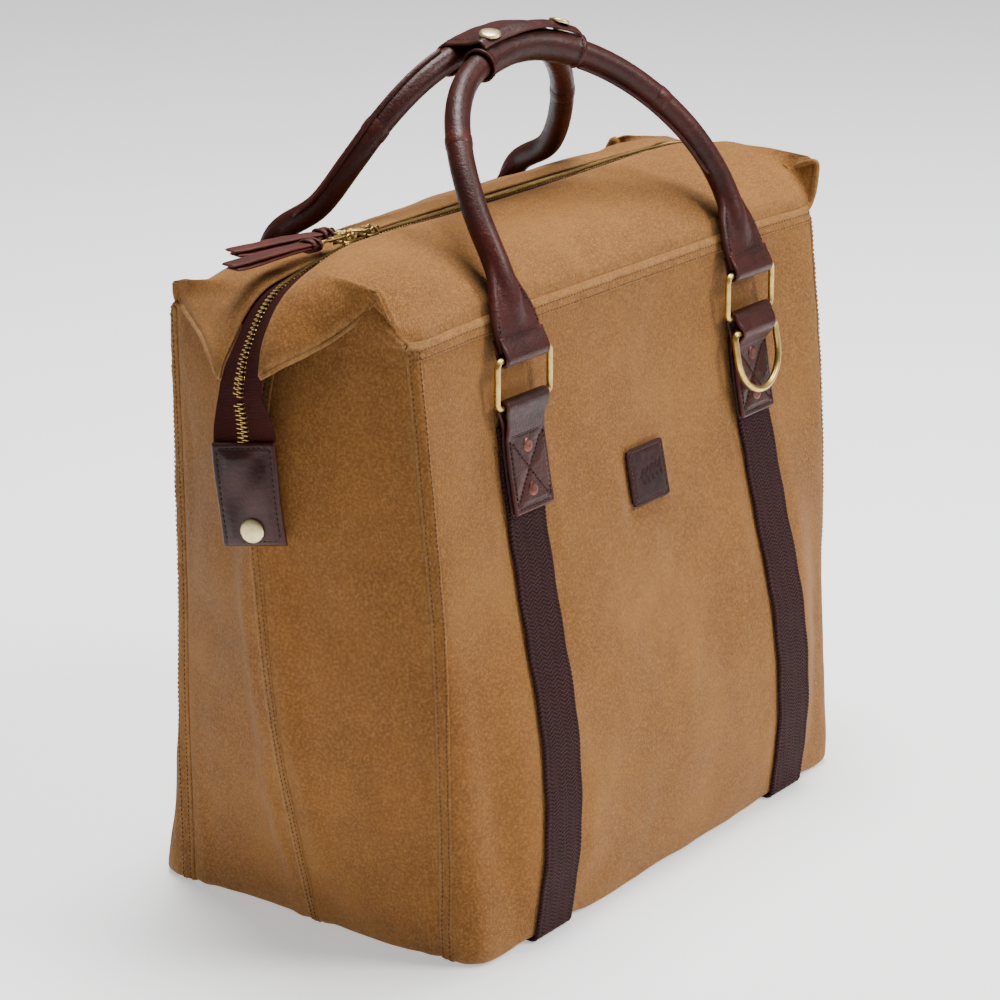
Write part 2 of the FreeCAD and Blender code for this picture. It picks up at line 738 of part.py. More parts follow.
def slider_shape(x):
    """A slider on the chain: a roof with a flange down each side, and two lugs that hold the pull's pin."""
    length, width, roof, gap = (size(f"slider_{name}") for name in ("length", "width", "roof", "gap"))
    chain_top = size("zip_height") + size("chain_thick") / 2
    under = chain_top + gap
    left = x - length / 2
    body = Part.makeBox(length, width, roof, V(left, -width / 2, under))
    flange = (width - 2 * (size("chain_half_width") + gap)) / 2
    drop = size("chain_thick") / 2 - size("tape_thick") / 2
    for y in (-width / 2, width / 2 - flange):
        body = body.fuse(Part.makeBox(length, flange, drop + gap, V(left, y, under - drop)))
    lug, tall = size("lug_thick"), size("lug_height")
    pin = under + roof + tall - size("pin_drop")
    reach = size("pull_bar_width") / 2 + size("lug_gap")
    deep = size("lug_depth")
    for y in (-reach - lug, reach):
        body = body.fuse(Part.makeBox(deep, lug, tall, V(x - deep / 2, y, under + roof)))
    rod_length = 2 * (reach + lug)
    pin_rod = Part.makeCylinder(size("pin_radius"), rod_length, V(x, -rod_length / 2, pin), V(0, 1, 0))
    return body.fuse(pin_rod).removeSplitter(), pin


def pull_shapes(x, pin, yaw, lace_yaw):
    """A pull laid to the left of its slider: a metal bar on the pin and a folded leather lace."""
    wide, thick, long = (size(f"pull_bar_{name}") for name in ("width", "thick", "length"))
    hole = size("pin_radius") + size("bar_clearance")
    elbow = x - size("pull_neck")
    barrel = Part.makeCylinder(size("pull_barrel"), wide, V(x, -wide / 2, pin), V(0, 1, 0))
    neck = Part.makeBox(x - elbow + wide / 4, wide, thick, V(elbow - wide / 4, -wide / 2, pin - thick / 2))
    bar = Part.makeBox(long, wide, thick, V(elbow - long, -wide / 2, pin - thick / 2))
    bar.rotate(V(elbow, 0, pin), V(0, 0, 1), -yaw)
    bore = Part.makeCylinder(hole, 2 * wide, V(x, -wide, pin), V(0, 1, 0))
    metal = barrel.fuse([neck, bar]).cut(bore)
    lace_wide, lace_thick, lace_long = (size(f"lace_{name}") for name in ("width", "thick", "length"))
    tip = elbow - long
    corner = V(tip - size("lace_gap") - lace_long, -lace_wide / 2, pin - lace_thick / 2)
    lace = Part.makeBox(lace_long, lace_wide, lace_thick, corner)
    lace.rotate(V(tip, 0, pin), V(0, 0, 1), -lace_yaw)
    lace.rotate(V(elbow, 0, pin), V(0, 0, 1), -yaw)
    return metal.removeSplitter(), lace


def make_sliders():
    for side in ("left", "right"):
        x = size(f"slider_{side}_x")
        yaw, lace_yaw = size(f"pull_{side}_yaw"), size(f"lace_{side}_yaw")
        body, pin = slider_shape(x)
        metal, lace = pull_shapes(x, pin, yaw, lace_yaw)
        shaped(f"{side}_slider", body)
        shaped(f"{side}_pull_bar", metal)
        shaped(f"{side}_pull_lace", lace)


# ---------------------------------------------------------------- build, check and export

make_walls()
make_floor_and_lining()
make_board()
make_top_panels()
make_zip()
make_tails()
make_end_studs()
make_straps()
make_chapes()
make_rivets()
make_rings()
make_patch()
front_path = make_handle("front", -1, FRONT_GRIP)
make_handle("back", 1, BACK_GRIP)
make_wrap(front_path)
make_sliders()
doc.recompute()

faults = [f"{thing.Label}: {thing.State}" for thing in doc.Objects if {"Invalid", "Error"} & set(thing.State)]
for label, feature in parts.items():
    if feature.Shape.isNull() or not feature.Shape.isValid() or not feature.Shape.Solids:
        faults.append(f"{label}: no valid solid")
if faults:
    raise RuntimeError("; ".join(faults))

os.makedirs("parts", exist_ok=True)
for label, feature in parts.items():
    feature.Shape.exportStep(f"parts/{label}.step")
    box = feature.Shape.BoundBox
    volume = feature.Shape.Volume / 1000
    print(f"{label:24s} {volume:9.2f} cm3  {box.XLength:.0f} x {box.YLength:.0f} x {box.ZLength:.0f}")
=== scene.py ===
"""A canvas weekender with webbing straps, rolled leather handles and a top zip, built round its CAD frame.

Everything is in metres in the frame's axes: +X along the zip, -Y towards the front, +Z up.
"""
import math

import bpy
import numpy as np
from mathutils import Matrix, Vector, noise


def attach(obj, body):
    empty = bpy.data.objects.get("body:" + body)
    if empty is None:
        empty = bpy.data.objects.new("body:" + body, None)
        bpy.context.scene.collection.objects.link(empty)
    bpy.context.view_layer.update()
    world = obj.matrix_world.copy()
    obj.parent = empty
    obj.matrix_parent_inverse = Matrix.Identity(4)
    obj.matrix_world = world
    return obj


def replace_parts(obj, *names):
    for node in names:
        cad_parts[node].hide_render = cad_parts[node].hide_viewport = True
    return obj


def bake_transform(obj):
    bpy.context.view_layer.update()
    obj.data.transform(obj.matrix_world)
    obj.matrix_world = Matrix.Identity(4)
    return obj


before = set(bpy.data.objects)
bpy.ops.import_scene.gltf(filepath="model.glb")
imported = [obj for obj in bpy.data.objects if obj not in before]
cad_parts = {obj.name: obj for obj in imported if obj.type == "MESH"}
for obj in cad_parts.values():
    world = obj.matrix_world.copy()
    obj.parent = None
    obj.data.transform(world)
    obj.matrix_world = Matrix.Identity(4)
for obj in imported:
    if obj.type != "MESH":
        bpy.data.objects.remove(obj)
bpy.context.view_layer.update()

MM = 0.001

# ---------------------------------------------------------------- measures, in metres

# Height of each level, then the depth of the front and back at their middle; the front's at its corner and its
# seam; the back's at its corner and its seam; the seams' distance from the middle; and that of each end's ridge.
LEVELS = np.array([
    (0, 131.5, 131, 99.5, 129, 99, 209, 211),
    (60, 138, 126.5, 101.5, 117, 96, 212.5, 228),
    (130, 134, 120, 103.5, 106.5, 92, 217, 245),
    (210, 117, 114, 102.5, 98.5, 88, 219.5, 257),
    (290, 101, 104.5, 97, 94, 86, 222, 262),
    (386, 89, 92.5, 87.5, 91.5, 87, 223, 238),
]) * MM
RIM = 386 * MM
# The front and back are flat to this distance from the middle. The walls turn into the bottom with a small radius, and the
# bottom is lifted a little, sagging to the floor between the straps.
FLAT_HALF = 156 * MM
FOOT_ROUND, FOOT_LIFT = 4 * MM, 2.3 * MM
CLOTH = 2.2 * MM
LINING_ROOM = 5.5 * MM
FLOOR_ROOM = 0.1 * MM

STRAP_WIDTH = 38 * MM
STRAP_THICK = 2.2 * MM
STRAP_TOP = 322 * MM
STRAP_STEP = 0.62 * MM
STRAP_FOOT_X, STRAP_TOP_X = 139.5 * MM, 127.5 * MM

RING_X = 128.5 * MM
RING_BAR = (103 * MM, 336 * MM)
RING_WIDTH, RING_HEIGHT, RING_CORNER, RING_WIRE = 54 * MM, 29 * MM, 4 * MM, 4 * MM
DEE_BAR = (107.5 * MM, 326.5 * MM)
DEE_WIDTH, DEE_SIDE, DEE_WIRE, DEE_LEAN = 50 * MM, 16 * MM, 4.5 * MM, math.radians(10)
CHAPE_BOTTOM, CHAPE_THICK, CHAPE_GAP = 268 * MM, 2.5 * MM, STRAP_THICK + 0.5 * MM
RIVET_HEIGHTS = (308 * MM, 281 * MM)

FRONT_GRIP = np.array([
    (-128.5, -86, 410), (-122, -63, 445), (-107, -41.5, 473), (-86, -24, 494), (-59, -12, 509), (-27, -8, 518),
    (5, -10.5, 521), (36, -19.5, 515.5), (66, -33.5, 501.5), (93.5, -50.5, 479), (114.5, -69, 449),
    (127.5, -86, 410),
]) * MM
BACK_GRIP = np.array([
    (-128, 86, 410), (-121.5, 56, 433), (-109.5, 39.5, 460), (-91, 28.5, 485), (-65, 20, 505.5), (-30, 14, 519),
    (12, 9.5, 523), (50, 9.5, 514), (81, 16.5, 493), (103.5, 30, 464), (118.5, 50, 433), (128, 86, 410),
]) * MM
GRIP_RADIUS = 8 * MM
END_WIDTH, END_THICK = 44 * MM, 6.4 * MM

ZIP_HEIGHT = 424.5 * MM
TAPE_HALF = 17 * MM
TAPE_COLUMNS, CHAIN_COLUMN = 23, 11
TAB_TOP, TAB_BOTTOM, TAB_WIDTH, TAB_THICK = 322 * MM, 258 * MM, 40 * MM, 4.2 * MM
TAB_SWING = {"left": -0.10, "right": 0.02}
SNAP_HEIGHT, SNAP_RADIUS = 273 * MM, 7.5 * MM

PATCH_CENTRE, PATCH_WIDTH, PATCH_HEIGHT, PATCH_CORNER = 259 * MM, 41.5 * MM, 37.5 * MM, 4.6 * MM

# A row of stitches: the pitch, then each stitch's length and radius.
WIDE_STITCH = (3.3 * MM, 2.4 * MM, 0.36 * MM)
CLOSE_STITCH = (3.0 * MM, 2.2 * MM, 0.36 * MM)
CHAPE_STITCH = (3.1 * MM, 2.2 * MM, 0.36 * MM)

STITCH_PROFILE = [(-0.5, 0.35), (-0.36, 0.85), (0.0, 1.0), (0.36, 0.85), (0.5, 0.35)]

X_AXIS, Y_AXIS, Z_AXIS = np.eye(3)


# ---------------------------------------------------------------- small maths

def unit(v):
    v = np.asarray(v, float)
    return v / np.maximum(np.linalg.norm(v, axis=-1, keepdims=True), 1e-12)


def through(xs, ys, x):
    """A smooth curve through (xs, ys), read at x. ys may have several columns."""
    xs, ys, x = np.asarray(xs, float), np.asarray(ys, float), np.asarray(x, float)
    slope = np.gradient(ys, xs, axis=0)
    i = np.clip(np.searchsorted(xs, x) - 1, 0, len(xs) - 2)
    step = xs[i + 1] - xs[i]
    t = np.clip((x - xs[i]) / step, 0, 1)
    if ys.ndim > 1:
        t, step = t[..., None], step[..., None]
    a, b = ys[i], ys[i + 1]
    return (
        a * (2 * t**3 - 3 * t**2 + 1) + b * (3 * t**2 - 2 * t**3)
        + slope[i] * step * (t**3 - 2 * t**2 + t) + slope[i + 1] * step * (t**3 - t**2)
    )


def run_length(points):
    """The distance travelled along a polyline at each of its points."""
    return np.concatenate([[0], np.cumsum(np.linalg.norm(np.diff(points, axis=0), axis=1))])


def read_at(at, places, values):
    """Each column of values, which are known at places, read between them."""
    return np.stack([np.interp(at, places, values[:, k]) for k in range(values.shape[1])], -1)


def resample(points, count):
    """A polyline with another number of points."""
    return read_at(np.linspace(0, len(points) - 1, count), np.arange(len(points)), points)


def curve(points, spacing):
    """Evenly spaced points on a smooth curve through the given ones."""
    points = np.asarray(points, float)
    along = run_length(points)
    return even(through(along, points, np.linspace(0, along[-1], 40 * len(points))), spacing)


def even(points, spacing):
    """A polyline's points moved to an even spacing."""
    along = run_length(points)
    count = max(2, int(round(along[-1] / spacing)) + 1)
    return read_at(np.linspace(0, along[-1], count), along, points)


def softened(line, times):
    """A polyline with its corners eased and its ends kept."""
    line = line.copy()
    for _ in range(times):
        line[1:-1] = (line[:-2] + 2 * line[1:-1] + line[2:]) / 4
    return line


def tangents(points):
    return unit(np.gradient(points, axis=0))


def smoothstep(low, high, x):
    """0 up to low, 1 from high on, and a smooth rise between them."""
    t = np.clip((np.asarray(x, float) - low) / (high - low), 0, 1)
    return t * t * (3 - 2 * t)


def bell(x, width):
    """1 at 0, falling away smoothly over about a width."""
    return np.exp(-np.square(np.asarray(x, float) / width))


def clouds(points, size, seed=0.0):
    """Soft noise from -1 to 1 at every point, with lumps about as large as size."""
    flat = np.asarray(points, float).reshape(-1, 3) / size + seed
    values = np.array([noise.noise(Vector(p)) for p in flat])
    return values.reshape(np.asarray(points).shape[:-1])


# ---------------------------------------------------------------- mesh building

def mesh_piece(name, verts, faces, material, body, uv=None, wear=None):
    """A piece that rides on a body, if one is named. Nothing reaches below the floor."""
    mesh = bpy.data.meshes.new(name)
    verts = np.array(verts, float)
    verts[:, 2] = np.maximum(verts[:, 2], FLOOR_ROOM)
    mesh.from_pydata(verts.tolist(), [], [tuple(f) for f in faces])
    if uv is not None:
        layer = mesh.uv_layers.new(name="UVMap")
        corners = np.empty(len(mesh.loops), int)
        mesh.loops.foreach_get("vertex_index", corners)
        layer.data.foreach_set("uv", np.asarray(uv, float)[corners].ravel())
    if wear is not None:
        attribute = mesh.attributes.new("wear", "FLOAT", "POINT")
        attribute.data.foreach_set("value", np.asarray(wear, np.float32).ravel())
    mesh.polygons.foreach_set("use_smooth", [True] * len(mesh.polygons))
    mesh.materials.append(material)
    mesh.validate()
    piece = bpy.data.objects.new(name, mesh)
    bpy.context.scene.collection.objects.link(piece)
    if body:
        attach(piece, body)
    return piece


def quads(rows, cols, wrap_rows=False, wrap_cols=False):
    i = np.arange(rows if wrap_rows else rows - 1)[:, None]
    j = np.arange(cols if wrap_cols else cols - 1)[None, :]
    i2, j2 = (i + 1) % rows, (j + 1) % cols
    corners = [i * cols + j, i2 * cols + j, i2 * cols + j2, i * cols + j2]
    return np.stack(np.broadcast_arrays(*corners), -1).reshape(-1, 4)


def grid_normals(grid):
    return unit(np.cross(np.gradient(grid, axis=0), np.gradient(grid, axis=1)))


def thicken(piece, thick, offset=-1):
    """A thickness inwards for -1, outwards for 1."""
    shell = piece.modifiers.new("thickness", "SOLIDIFY")
    shell.thickness, shell.offset = thick, offset


def grid_uv(grid):
    """Metres along the rows and along the columns, so that a weave keeps its true scale."""
    rows = np.linalg.norm(np.diff(grid, axis=0), axis=2).mean(1)
    cols = np.linalg.norm(np.diff(grid, axis=1), axis=2).mean(0)
    u = np.concatenate([[0], np.cumsum(cols)])
    v = np.concatenate([[0], np.cumsum(rows)])
    return np.stack(np.broadcast_arrays(u[None, :], v[:, None]), -1)


def sheet_piece(name, grid, thick, material, body, wear=None, rounds=1):
    """A cloth or leather sheet: the grid is its outer face, and it is given a thickness inwards."""
    rows, cols = grid.shape[:2]
    piece = mesh_piece(name, grid.reshape(-1, 3), quads(rows, cols), material, body,
                       grid_uv(grid).reshape(-1, 2), wear)
    thicken(piece, thick)
    if rounds:
        round_edges = piece.modifiers.new("round", "SUBSURF")
        round_edges.levels = round_edges.render_levels = rounds
    return piece


def ribbon(name, path, normals, width, thick, material, body, relief=None, across=13):
    """A strap: a flat strip along a path, with rounded edges. normals point out of its outer face.

    width is one value or one for each point of the path, and relief(along, across) raises the outer face.
    """
    path, normals = np.asarray(path, float), unit(normals)
    width = np.broadcast_to(np.asarray(width, float), len(path))
    thick = np.broadcast_to(np.asarray(thick, float), len(path))
    side = unit(np.cross(tangents(path), normals))
    along = run_length(path)
    # The columns lie closer together towards the edges.
    a = np.sin(np.linspace(-math.pi / 2, math.pi / 2, across)) * 0.35 + np.linspace(-1, 1, across) * 0.65
    reach = width[:, None] / 2 * a[None, :]
    room = width[:, None] / 2 - np.abs(reach)
    room = np.minimum(room, np.minimum(along, along[-1] - along)[:, None] + 0.06 * MM)
    half = thick[:, None] / 2
    edge = half * np.sqrt(np.clip(1 - np.square(np.clip(1 - room / half, 0, 1)), 0.02, 1))
    top = edge.copy()
    if relief is not None:
        top = top + relief(along[:, None], reach) * (edge / half)
    base = path[:, None, :] + side[:, None, :] * reach[..., None]
    outer = base + normals[:, None, :] * top[..., None]
    inner = base - normals[:, None, :] * edge[..., None]
    loop = np.concatenate([outer, inner[:, ::-1]], 1)
    rows, cols = loop.shape[:2]
    faces = quads(rows, cols, wrap_cols=True)[:, ::-1].tolist()
    for row, order in ((0, -1), (rows - 1, 1)):
        k = row * cols
        for j in range(across - 1):
            faces.append([k + j, k + j + 1, k + cols - 2 - j, k + cols - 1 - j][::order])
    uv_row = np.concatenate([reach, reach[:, ::-1]], 1)
    uv = np.stack([uv_row, np.broadcast_to(along[:, None], uv_row.shape)], -1)
    wear = np.concatenate([1 - smoothstep(0, 2.5 * MM, room)] * 2, 1)
    wear[:, across:] = wear[:, across:][:, ::-1]
    return mesh_piece(name, loop.reshape(-1, 3), faces, material, body, uv.reshape(-1, 2), wear)


def sweep(name, path, sections, normals, material, body, wear=None, closed=False, caps=True):
    """A tube whose section changes along its path. Each section is a loop of (side, normal) offsets."""
    side = unit(np.cross(tangents(path), normals))
    if closed:
        turning = unit(np.roll(path, -1, 0) - np.roll(path, 1, 0))
        side = unit(np.cross(turning, normals))
    up = unit(normals)
    loop = path[:, None, :] + side[:, None, :] * sections[..., :1] + up[:, None, :] * sections[..., 1:2]
    rows, cols = loop.shape[:2]
    faces = quads(rows, cols, wrap_rows=closed, wrap_cols=True).tolist()
    verts = loop.reshape(-1, 3)
    if caps and not closed:
        verts = np.concatenate([verts, path[:1], path[-1:]])
        for row, centre, order in ((0, len(verts) - 2, -1), (rows - 1, len(verts) - 1, 1)):
            for j in range(cols):
                faces.append([row * cols + j, row * cols + (j + 1) % cols, centre][::order])
    along = run_length(path)
    around = np.linspace(0, 1, cols) * np.linalg.norm(np.diff(sections[rows // 2], axis=0), axis=1).sum()
    uv = np.stack(np.broadcast_arrays(around[None, :], along[:, None]), -1).reshape(-1, 2)
    extra = len(verts) - rows * cols
    uv = np.concatenate([uv, np.zeros((extra, 2))])
    if wear is None:
        wear = np.zeros((rows, cols))
    wear = np.concatenate([np.asarray(wear, float).ravel(), np.zeros(extra)])
    return mesh_piece(name, verts, faces, material, body, uv, wear)


def circle(radius, count=24):
    a = np.linspace(0, 2 * math.pi, count, endpoint=False)
    return np.stack([np.cos(a), np.sin(a)], -1) * radius


def lathe(name, profile, centre, axis, material, body, count=40):
    """A turned piece: profile is a list of (radius, height along axis)."""
    axis = unit(axis)
    side = unit(np.cross(axis, X_AXIS if abs(axis[0]) < 0.9 else Y_AXIS))
    other = np.cross(axis, side)
    rim = circle(1.0, count)
    rows = []
    for radius, height in profile:
        rows.append(np.asarray(centre) + axis * height + (side * rim[:, :1] + other * rim[:, 1:]) * radius)
    verts = np.concatenate(rows)
    faces = quads(len(profile), count, wrap_cols=True)[:, ::-1]
    return mesh_piece(name, verts, faces, material, body, np.zeros((len(verts), 2)), np.zeros(len(verts)))


def join_parts(name, parts, material, body, wear=0.0):
    """One piece from many (verts, faces) pairs."""
    verts, faces, start = [], [], 0
    for part_verts, part_faces in parts:
        verts.append(part_verts)
        faces += [[corner + start for corner in face] for face in np.asarray(part_faces, object).tolist()]
        start += len(part_verts)
    verts = np.concatenate(verts)
    return mesh_piece(name, verts, faces, material, body, verts[:, :2], np.full(len(verts), wear))


def stitch_parts(path, normals, pitch=3.2 * MM, length=2.3 * MM, radius=0.42 * MM, lift=0.12 * MM):
    """The stitches of one seam, each a small capsule lying on the surface and bowed down at its ends."""
    path = np.asarray(path, float)
    along = run_length(path)
    at = np.arange(pitch, along[-1] - pitch / 2, pitch)
    centres = read_at(at, along, path)
    ways = unit(read_at(at, along, tangents(path)))
    ups = unit(read_at(at, along, np.broadcast_to(unit(normals), path.shape)))
    sides = unit(np.cross(ways, ups))
    rim = circle(1.0, 6)
    parts = []
    faces = quads(len(STITCH_PROFILE), 6, wrap_cols=True)
    for centre, way, side, up in zip(centres, ways, sides, ups):
        rows = []
        for shift, scale in STITCH_PROFILE:
            bow = lift - 1.3 * radius * (2 * shift) ** 2
            middle = centre + way * shift * length + up * bow
            rows.append(middle + (side * rim[:, :1] + up * rim[:, 1:]) * radius * scale)
        parts.append((np.concatenate(rows), faces))
    return parts


# ---------------------------------------------------------------- materials

class Nodes:
    """A material being built: each call adds a node and returns it."""

    def __init__(self, name):
        self.material = bpy.data.materials.new(name)
        self.material.use_nodes = True
        self.tree = self.material.node_tree
        self.shader = self.tree.nodes["Principled BSDF"]

    def add(self, kind, sockets=None, **settings):
        node = self.tree.nodes.new("ShaderNode" + kind)
        for key, value in settings.items():
            setattr(node, key, value)
        for key, value in (sockets or {}).items():
            self.set(node, key, value)
        return node

    def set(self, node, key, value):
        if isinstance(value, bpy.types.NodeSocket):
            self.tree.links.new(value, node.inputs[key])
        else:
            node.inputs[key].default_value = value

    def noise(self, where, scale, detail=4.0, rough=0.6, stretch=None):
        if stretch:
            where = self.add("Mapping", {"Vector": where, "Scale": stretch}).outputs[0]
        sockets = {"Vector": where, "Scale": scale, "Detail": detail, "Roughness": rough}
        return self.add("TexNoise", sockets).outputs[0]

    def ramp(self, value, *stops):
        node = self.add("ValToRGB", {"Fac": value})
        elements = node.color_ramp.elements
        while len(elements) < len(stops):
            elements.new(0.5)
        for element, (place, colour) in zip(elements, stops):
            element.position = place
            element.color = colour if len(colour) == 4 else (*colour, 1)
        return node.outputs[0]

    def level(self, value, low, high, to_low=0.0, to_high=1.0):
        return self.add("MapRange", {"Value": value, "From Min": low, "From Max": high,
                                     "To Min": to_low, "To Max": to_high}).outputs[0]

    def maths(self, kind, a, b=0.0):
        return self.add("Math", {0: a, 1: b}, operation=kind).outputs[0]

    def mix(self, share, a, b, blend="MIX"):
        node = self.add("Mix", {0: share, 6: a, 7: b}, data_type="RGBA", blend_type=blend)
        return node.outputs[2]

    def bump(self, height, strength, distance, below=None):
        sockets = {"Height": height, "Strength": strength, "Distance": distance}
        if below is not None:
            sockets["Normal"] = below
        return self.add("Bump", sockets).outputs[0]

    def object_place(self):
        return self.add("TexCoord").outputs["Object"]

    def cloth_place(self):
        return self.add("UVMap", uv_map="UVMap").outputs[0]

    def worn(self):
        return self.add("Attribute", attribute_name="wear").outputs["Fac"]

    def waves(self, where, period, angle, distortion=0.0):
        """Parallel ridges from 0 to 1, a period apart, at an angle to the cloth's width."""
        turned = self.add("Mapping", {"Vector": where, "Rotation": (0, 0, angle)}).outputs[0]
        wave = self.add("TexWave", {"Vector": turned, "Scale": math.pi / (10 * period), "Distortion": distortion},
                        wave_type="BANDS", bands_direction="X")
        return wave.outputs["Fac"]

    def finish(self, colour, roughness, normal=None, **fixed):
        self.set(self.shader, "Base Color", colour)
        self.set(self.shader, "Roughness", roughness)
        if normal is not None:
            self.set(self.shader, "Normal", normal)
        for key, value in fixed.items():
            self.set(self.shader, key.replace("_", " "), value)
        return self.material


def rgb(red, green, blue):
    """A colour named by its 0-255 screen values."""
    def linear(value):
        value /= 255
        return value / 12.92 if value <= 0.04045 else ((value + 0.055) / 1.055) ** 2.4
    return (linear(red), linear(green), linear(blue), 1)


def canvas_material():
    """Waxed canvas: a cloudy ground, rubbed spots and edges, and a twill with the threads across it."""
    n = Nodes("waxed_canvas")
    place, cloth = n.object_place(), n.cloth_place()
    large = n.noise(place, 11, 4, 0.6)
    mottle = n.noise(place, 62, 8, 0.74)
    fine = n.noise(place, 640, 5, 0.8)
    colour = n.ramp(large, (0.30, rgb(108, 66, 24)), (0.52, rgb(128, 81, 33)), (0.70, rgb(148, 98, 44)))
    colour = n.mix(n.level(mottle, 0.36, 0.70, 0.34, 0.0), colour, rgb(88, 50, 17))
    colour = n.mix(n.level(fine, 0.44, 0.66, 0.0, 0.72), colour, rgb(178, 128, 66))
    rubbed = n.noise(place, 190, 6, 0.8, (1, 1, 0.4))
    colour = n.mix(n.level(rubbed, 0.58, 0.74, 0.0, 0.30), colour, rgb(198, 149, 86))
    worn = n.worn()
    patchy = n.maths("MULTIPLY", worn, n.level(n.noise(place, 210, 4, 0.7), 0.34, 0.62))
    colour = n.mix(n.maths("MULTIPLY", patchy, 0.42), colour, rgb(206, 168, 114))
    twill = n.waves(cloth, 0.95 * MM, math.radians(52), 0.6)
    threads = n.waves(cloth, 0.62 * MM, 0.0, 0.8)
    weave = n.maths("ADD", n.maths("MULTIPLY", twill, 0.7), n.maths("MULTIPLY", threads, 0.3))
    colour = n.mix(n.level(weave, 0.1, 0.9, 0.46, 0.0), colour, rgb(84, 48, 15))
    normal = n.bump(weave, 0.6, 0.4 * MM)
    normal = n.bump(fine, 0.35, 0.5 * MM, normal)
    normal = n.bump(mottle, 0.30, 1.6 * MM, normal)
    return n.finish(colour, n.level(mottle, 0.3, 0.7, 0.66, 0.84), normal,
                    Specular_IOR_Level=0.16, Sheen_Weight=0.12, Sheen_Roughness=0.5,
                    Sheen_Tint=(1.0, 0.86, 0.66, 1))


def leather_material(name, dark, light, shine, grain=1.5 * MM, coat=0.08):
    """Leather with a pebbled grain, creases across it and paler edges. shine is its lowest roughness."""
    n = Nodes(name)
    place = n.object_place()
    cloudy = n.noise(place, 26, 5, 0.6)
    fine = n.noise(place, 260, 5, 0.7)
    colour = n.ramp(cloudy, (0.28, dark), (0.74, light))
    worn = n.worn()
    pebbles = n.add("TexVoronoi", {"Vector": place, "Scale": 1 / grain, "Randomness": 1.0}, feature="SMOOTH_F1")
    cells = pebbles.outputs["Distance"]
    creases = n.noise(place, 150, 6, 0.7, (1, 1, 2.2))
    colour = n.mix(n.level(cells, 0.35, 0.75, 0.0, 0.35), colour, dark)
    colour = n.mix(n.level(fine, 0.5, 0.72, 0.0, 0.22), colour, light)
    rub = n.maths("MULTIPLY", worn, n.level(fine, 0.3, 0.65, 0.2, 0.75))
    colour = n.mix(n.maths("MULTIPLY", rub, 0.40), colour, tuple(min(1, 1.7 * c) for c in light[:3]) + (1,))
    normal = n.bump(cells, 0.45, 0.4 * MM)
    normal = n.bump(creases, 0.50, 0.9 * MM, normal)
    normal = n.bump(cloudy, 0.45, 2.0 * MM, normal)
    return n.finish(colour, n.level(creases, 0.3, 0.72, shine, shine + 0.24), normal,
                    Specular_IOR_Level=0.22, Coat_Weight=coat, Coat_Roughness=0.26)


def webbing_material():
    """Herringbone webbing with a rib along it and a little fluff."""
    n = Nodes("webbing")
    place, cloth = n.object_place(), n.cloth_place()
    left = n.waves(cloth, 2.3 * MM, math.radians(62), 0.4)
    right = n.waves(cloth, 2.3 * MM, math.radians(118), 0.4)
    across = n.waves(cloth, 9.4 * MM, 0.0)
    bars = n.level(across, 0.46, 0.54)
    herring = n.add("Mix", {0: bars, 2: left, 3: right}, data_type="FLOAT").outputs[0]
    ribs = n.waves(cloth, 1.15 * MM, math.pi / 2, 0.5)
    weave = n.maths("ADD", n.maths("MULTIPLY", herring, 0.65), n.maths("MULTIPLY", ribs, 0.35))
    fluff = n.noise(place, 500, 4, 0.8)
    cloudy = n.noise(place, 30, 4, 0.6)
    colour = n.ramp(weave, (0.15, rgb(16, 3, 4)), (0.6, rgb(40, 12, 13)), (0.95, rgb(64, 26, 26)))
    colour = n.mix(n.level(cloudy, 0.35, 0.7, 0.0, 0.3), colour, rgb(34, 11, 12))
    colour = n.mix(n.level(fluff, 0.5, 0.75, 0.0, 0.3), colour, rgb(80, 44, 42))
    normal = n.bump(weave, 0.75, 0.7 * MM)
    normal = n.bump(fluff, 0.3, 0.3 * MM, normal)
    return n.finish(colour, n.level(weave, 0, 1, 0.85, 0.7), normal, Specular_IOR_Level=0.12, Sheen_Weight=0.04)


def metal_material(name, clean, stain, rough, patina=0.5):
    """Metal stained in spots, with fine scratches. patina is how far a stain covers it."""
    n = Nodes(name)
    place = n.object_place()
    spots = n.noise(place, 130, 6, 0.72)
    cloudy = n.noise(place, 40, 4, 0.6)
    scratches = n.noise(place, 700, 3, 0.6, (1, 1, 0.15))
    colour = n.mix(n.level(spots, 0.42, 0.68, 0.0, patina), clean, stain)
    colour = n.mix(n.level(cloudy, 0.45, 0.75, 0.0, patina * 0.6), colour, stain)
    normal = n.bump(scratches, 0.10, 0.12 * MM)
    normal = n.bump(spots, 0.12, 0.25 * MM, normal)
    return n.finish(colour, n.level(spots, 0.35, 0.7, rough, rough + 0.22), normal, Metallic=1.0)


def tape_material():
    n = Nodes("zip_tape")
    place, cloth = n.object_place(), n.cloth_place()
    ribs = n.waves(cloth, 0.9 * MM, math.pi / 2, 0.3)
    cords = n.waves(cloth, 0.8 * MM, 0.0, 0.3)
    weave = n.maths("ADD", n.maths("MULTIPLY", ribs, 0.6), n.maths("MULTIPLY", cords, 0.4))
    fluff = n.noise(place, 380, 4, 0.75)
    colour = n.ramp(weave, (0.1, rgb(26, 6, 5)), (0.9, rgb(62, 22, 17)))
    colour = n.mix(n.level(fluff, 0.5, 0.75, 0.0, 0.3), colour, rgb(80, 40, 33))
    normal = n.bump(weave, 0.5, 0.35 * MM)
    return n.finish(colour, n.level(fluff, 0.3, 0.7, 0.78, 0.9), normal, Specular_IOR_Level=0.1)


def thread_material(name, dark, light):
    n = Nodes(name)
    place = n.object_place()
    ply = n.noise(place, 1500, 3, 0.6)
    colour = n.ramp(ply, (0.3, dark), (0.7, light))
    normal = n.bump(ply, 0.4, 0.15 * MM)
    return n.finish(colour, n.level(ply, 0.3, 0.7, 0.62, 0.8), normal, Specular_IOR_Level=0.3)


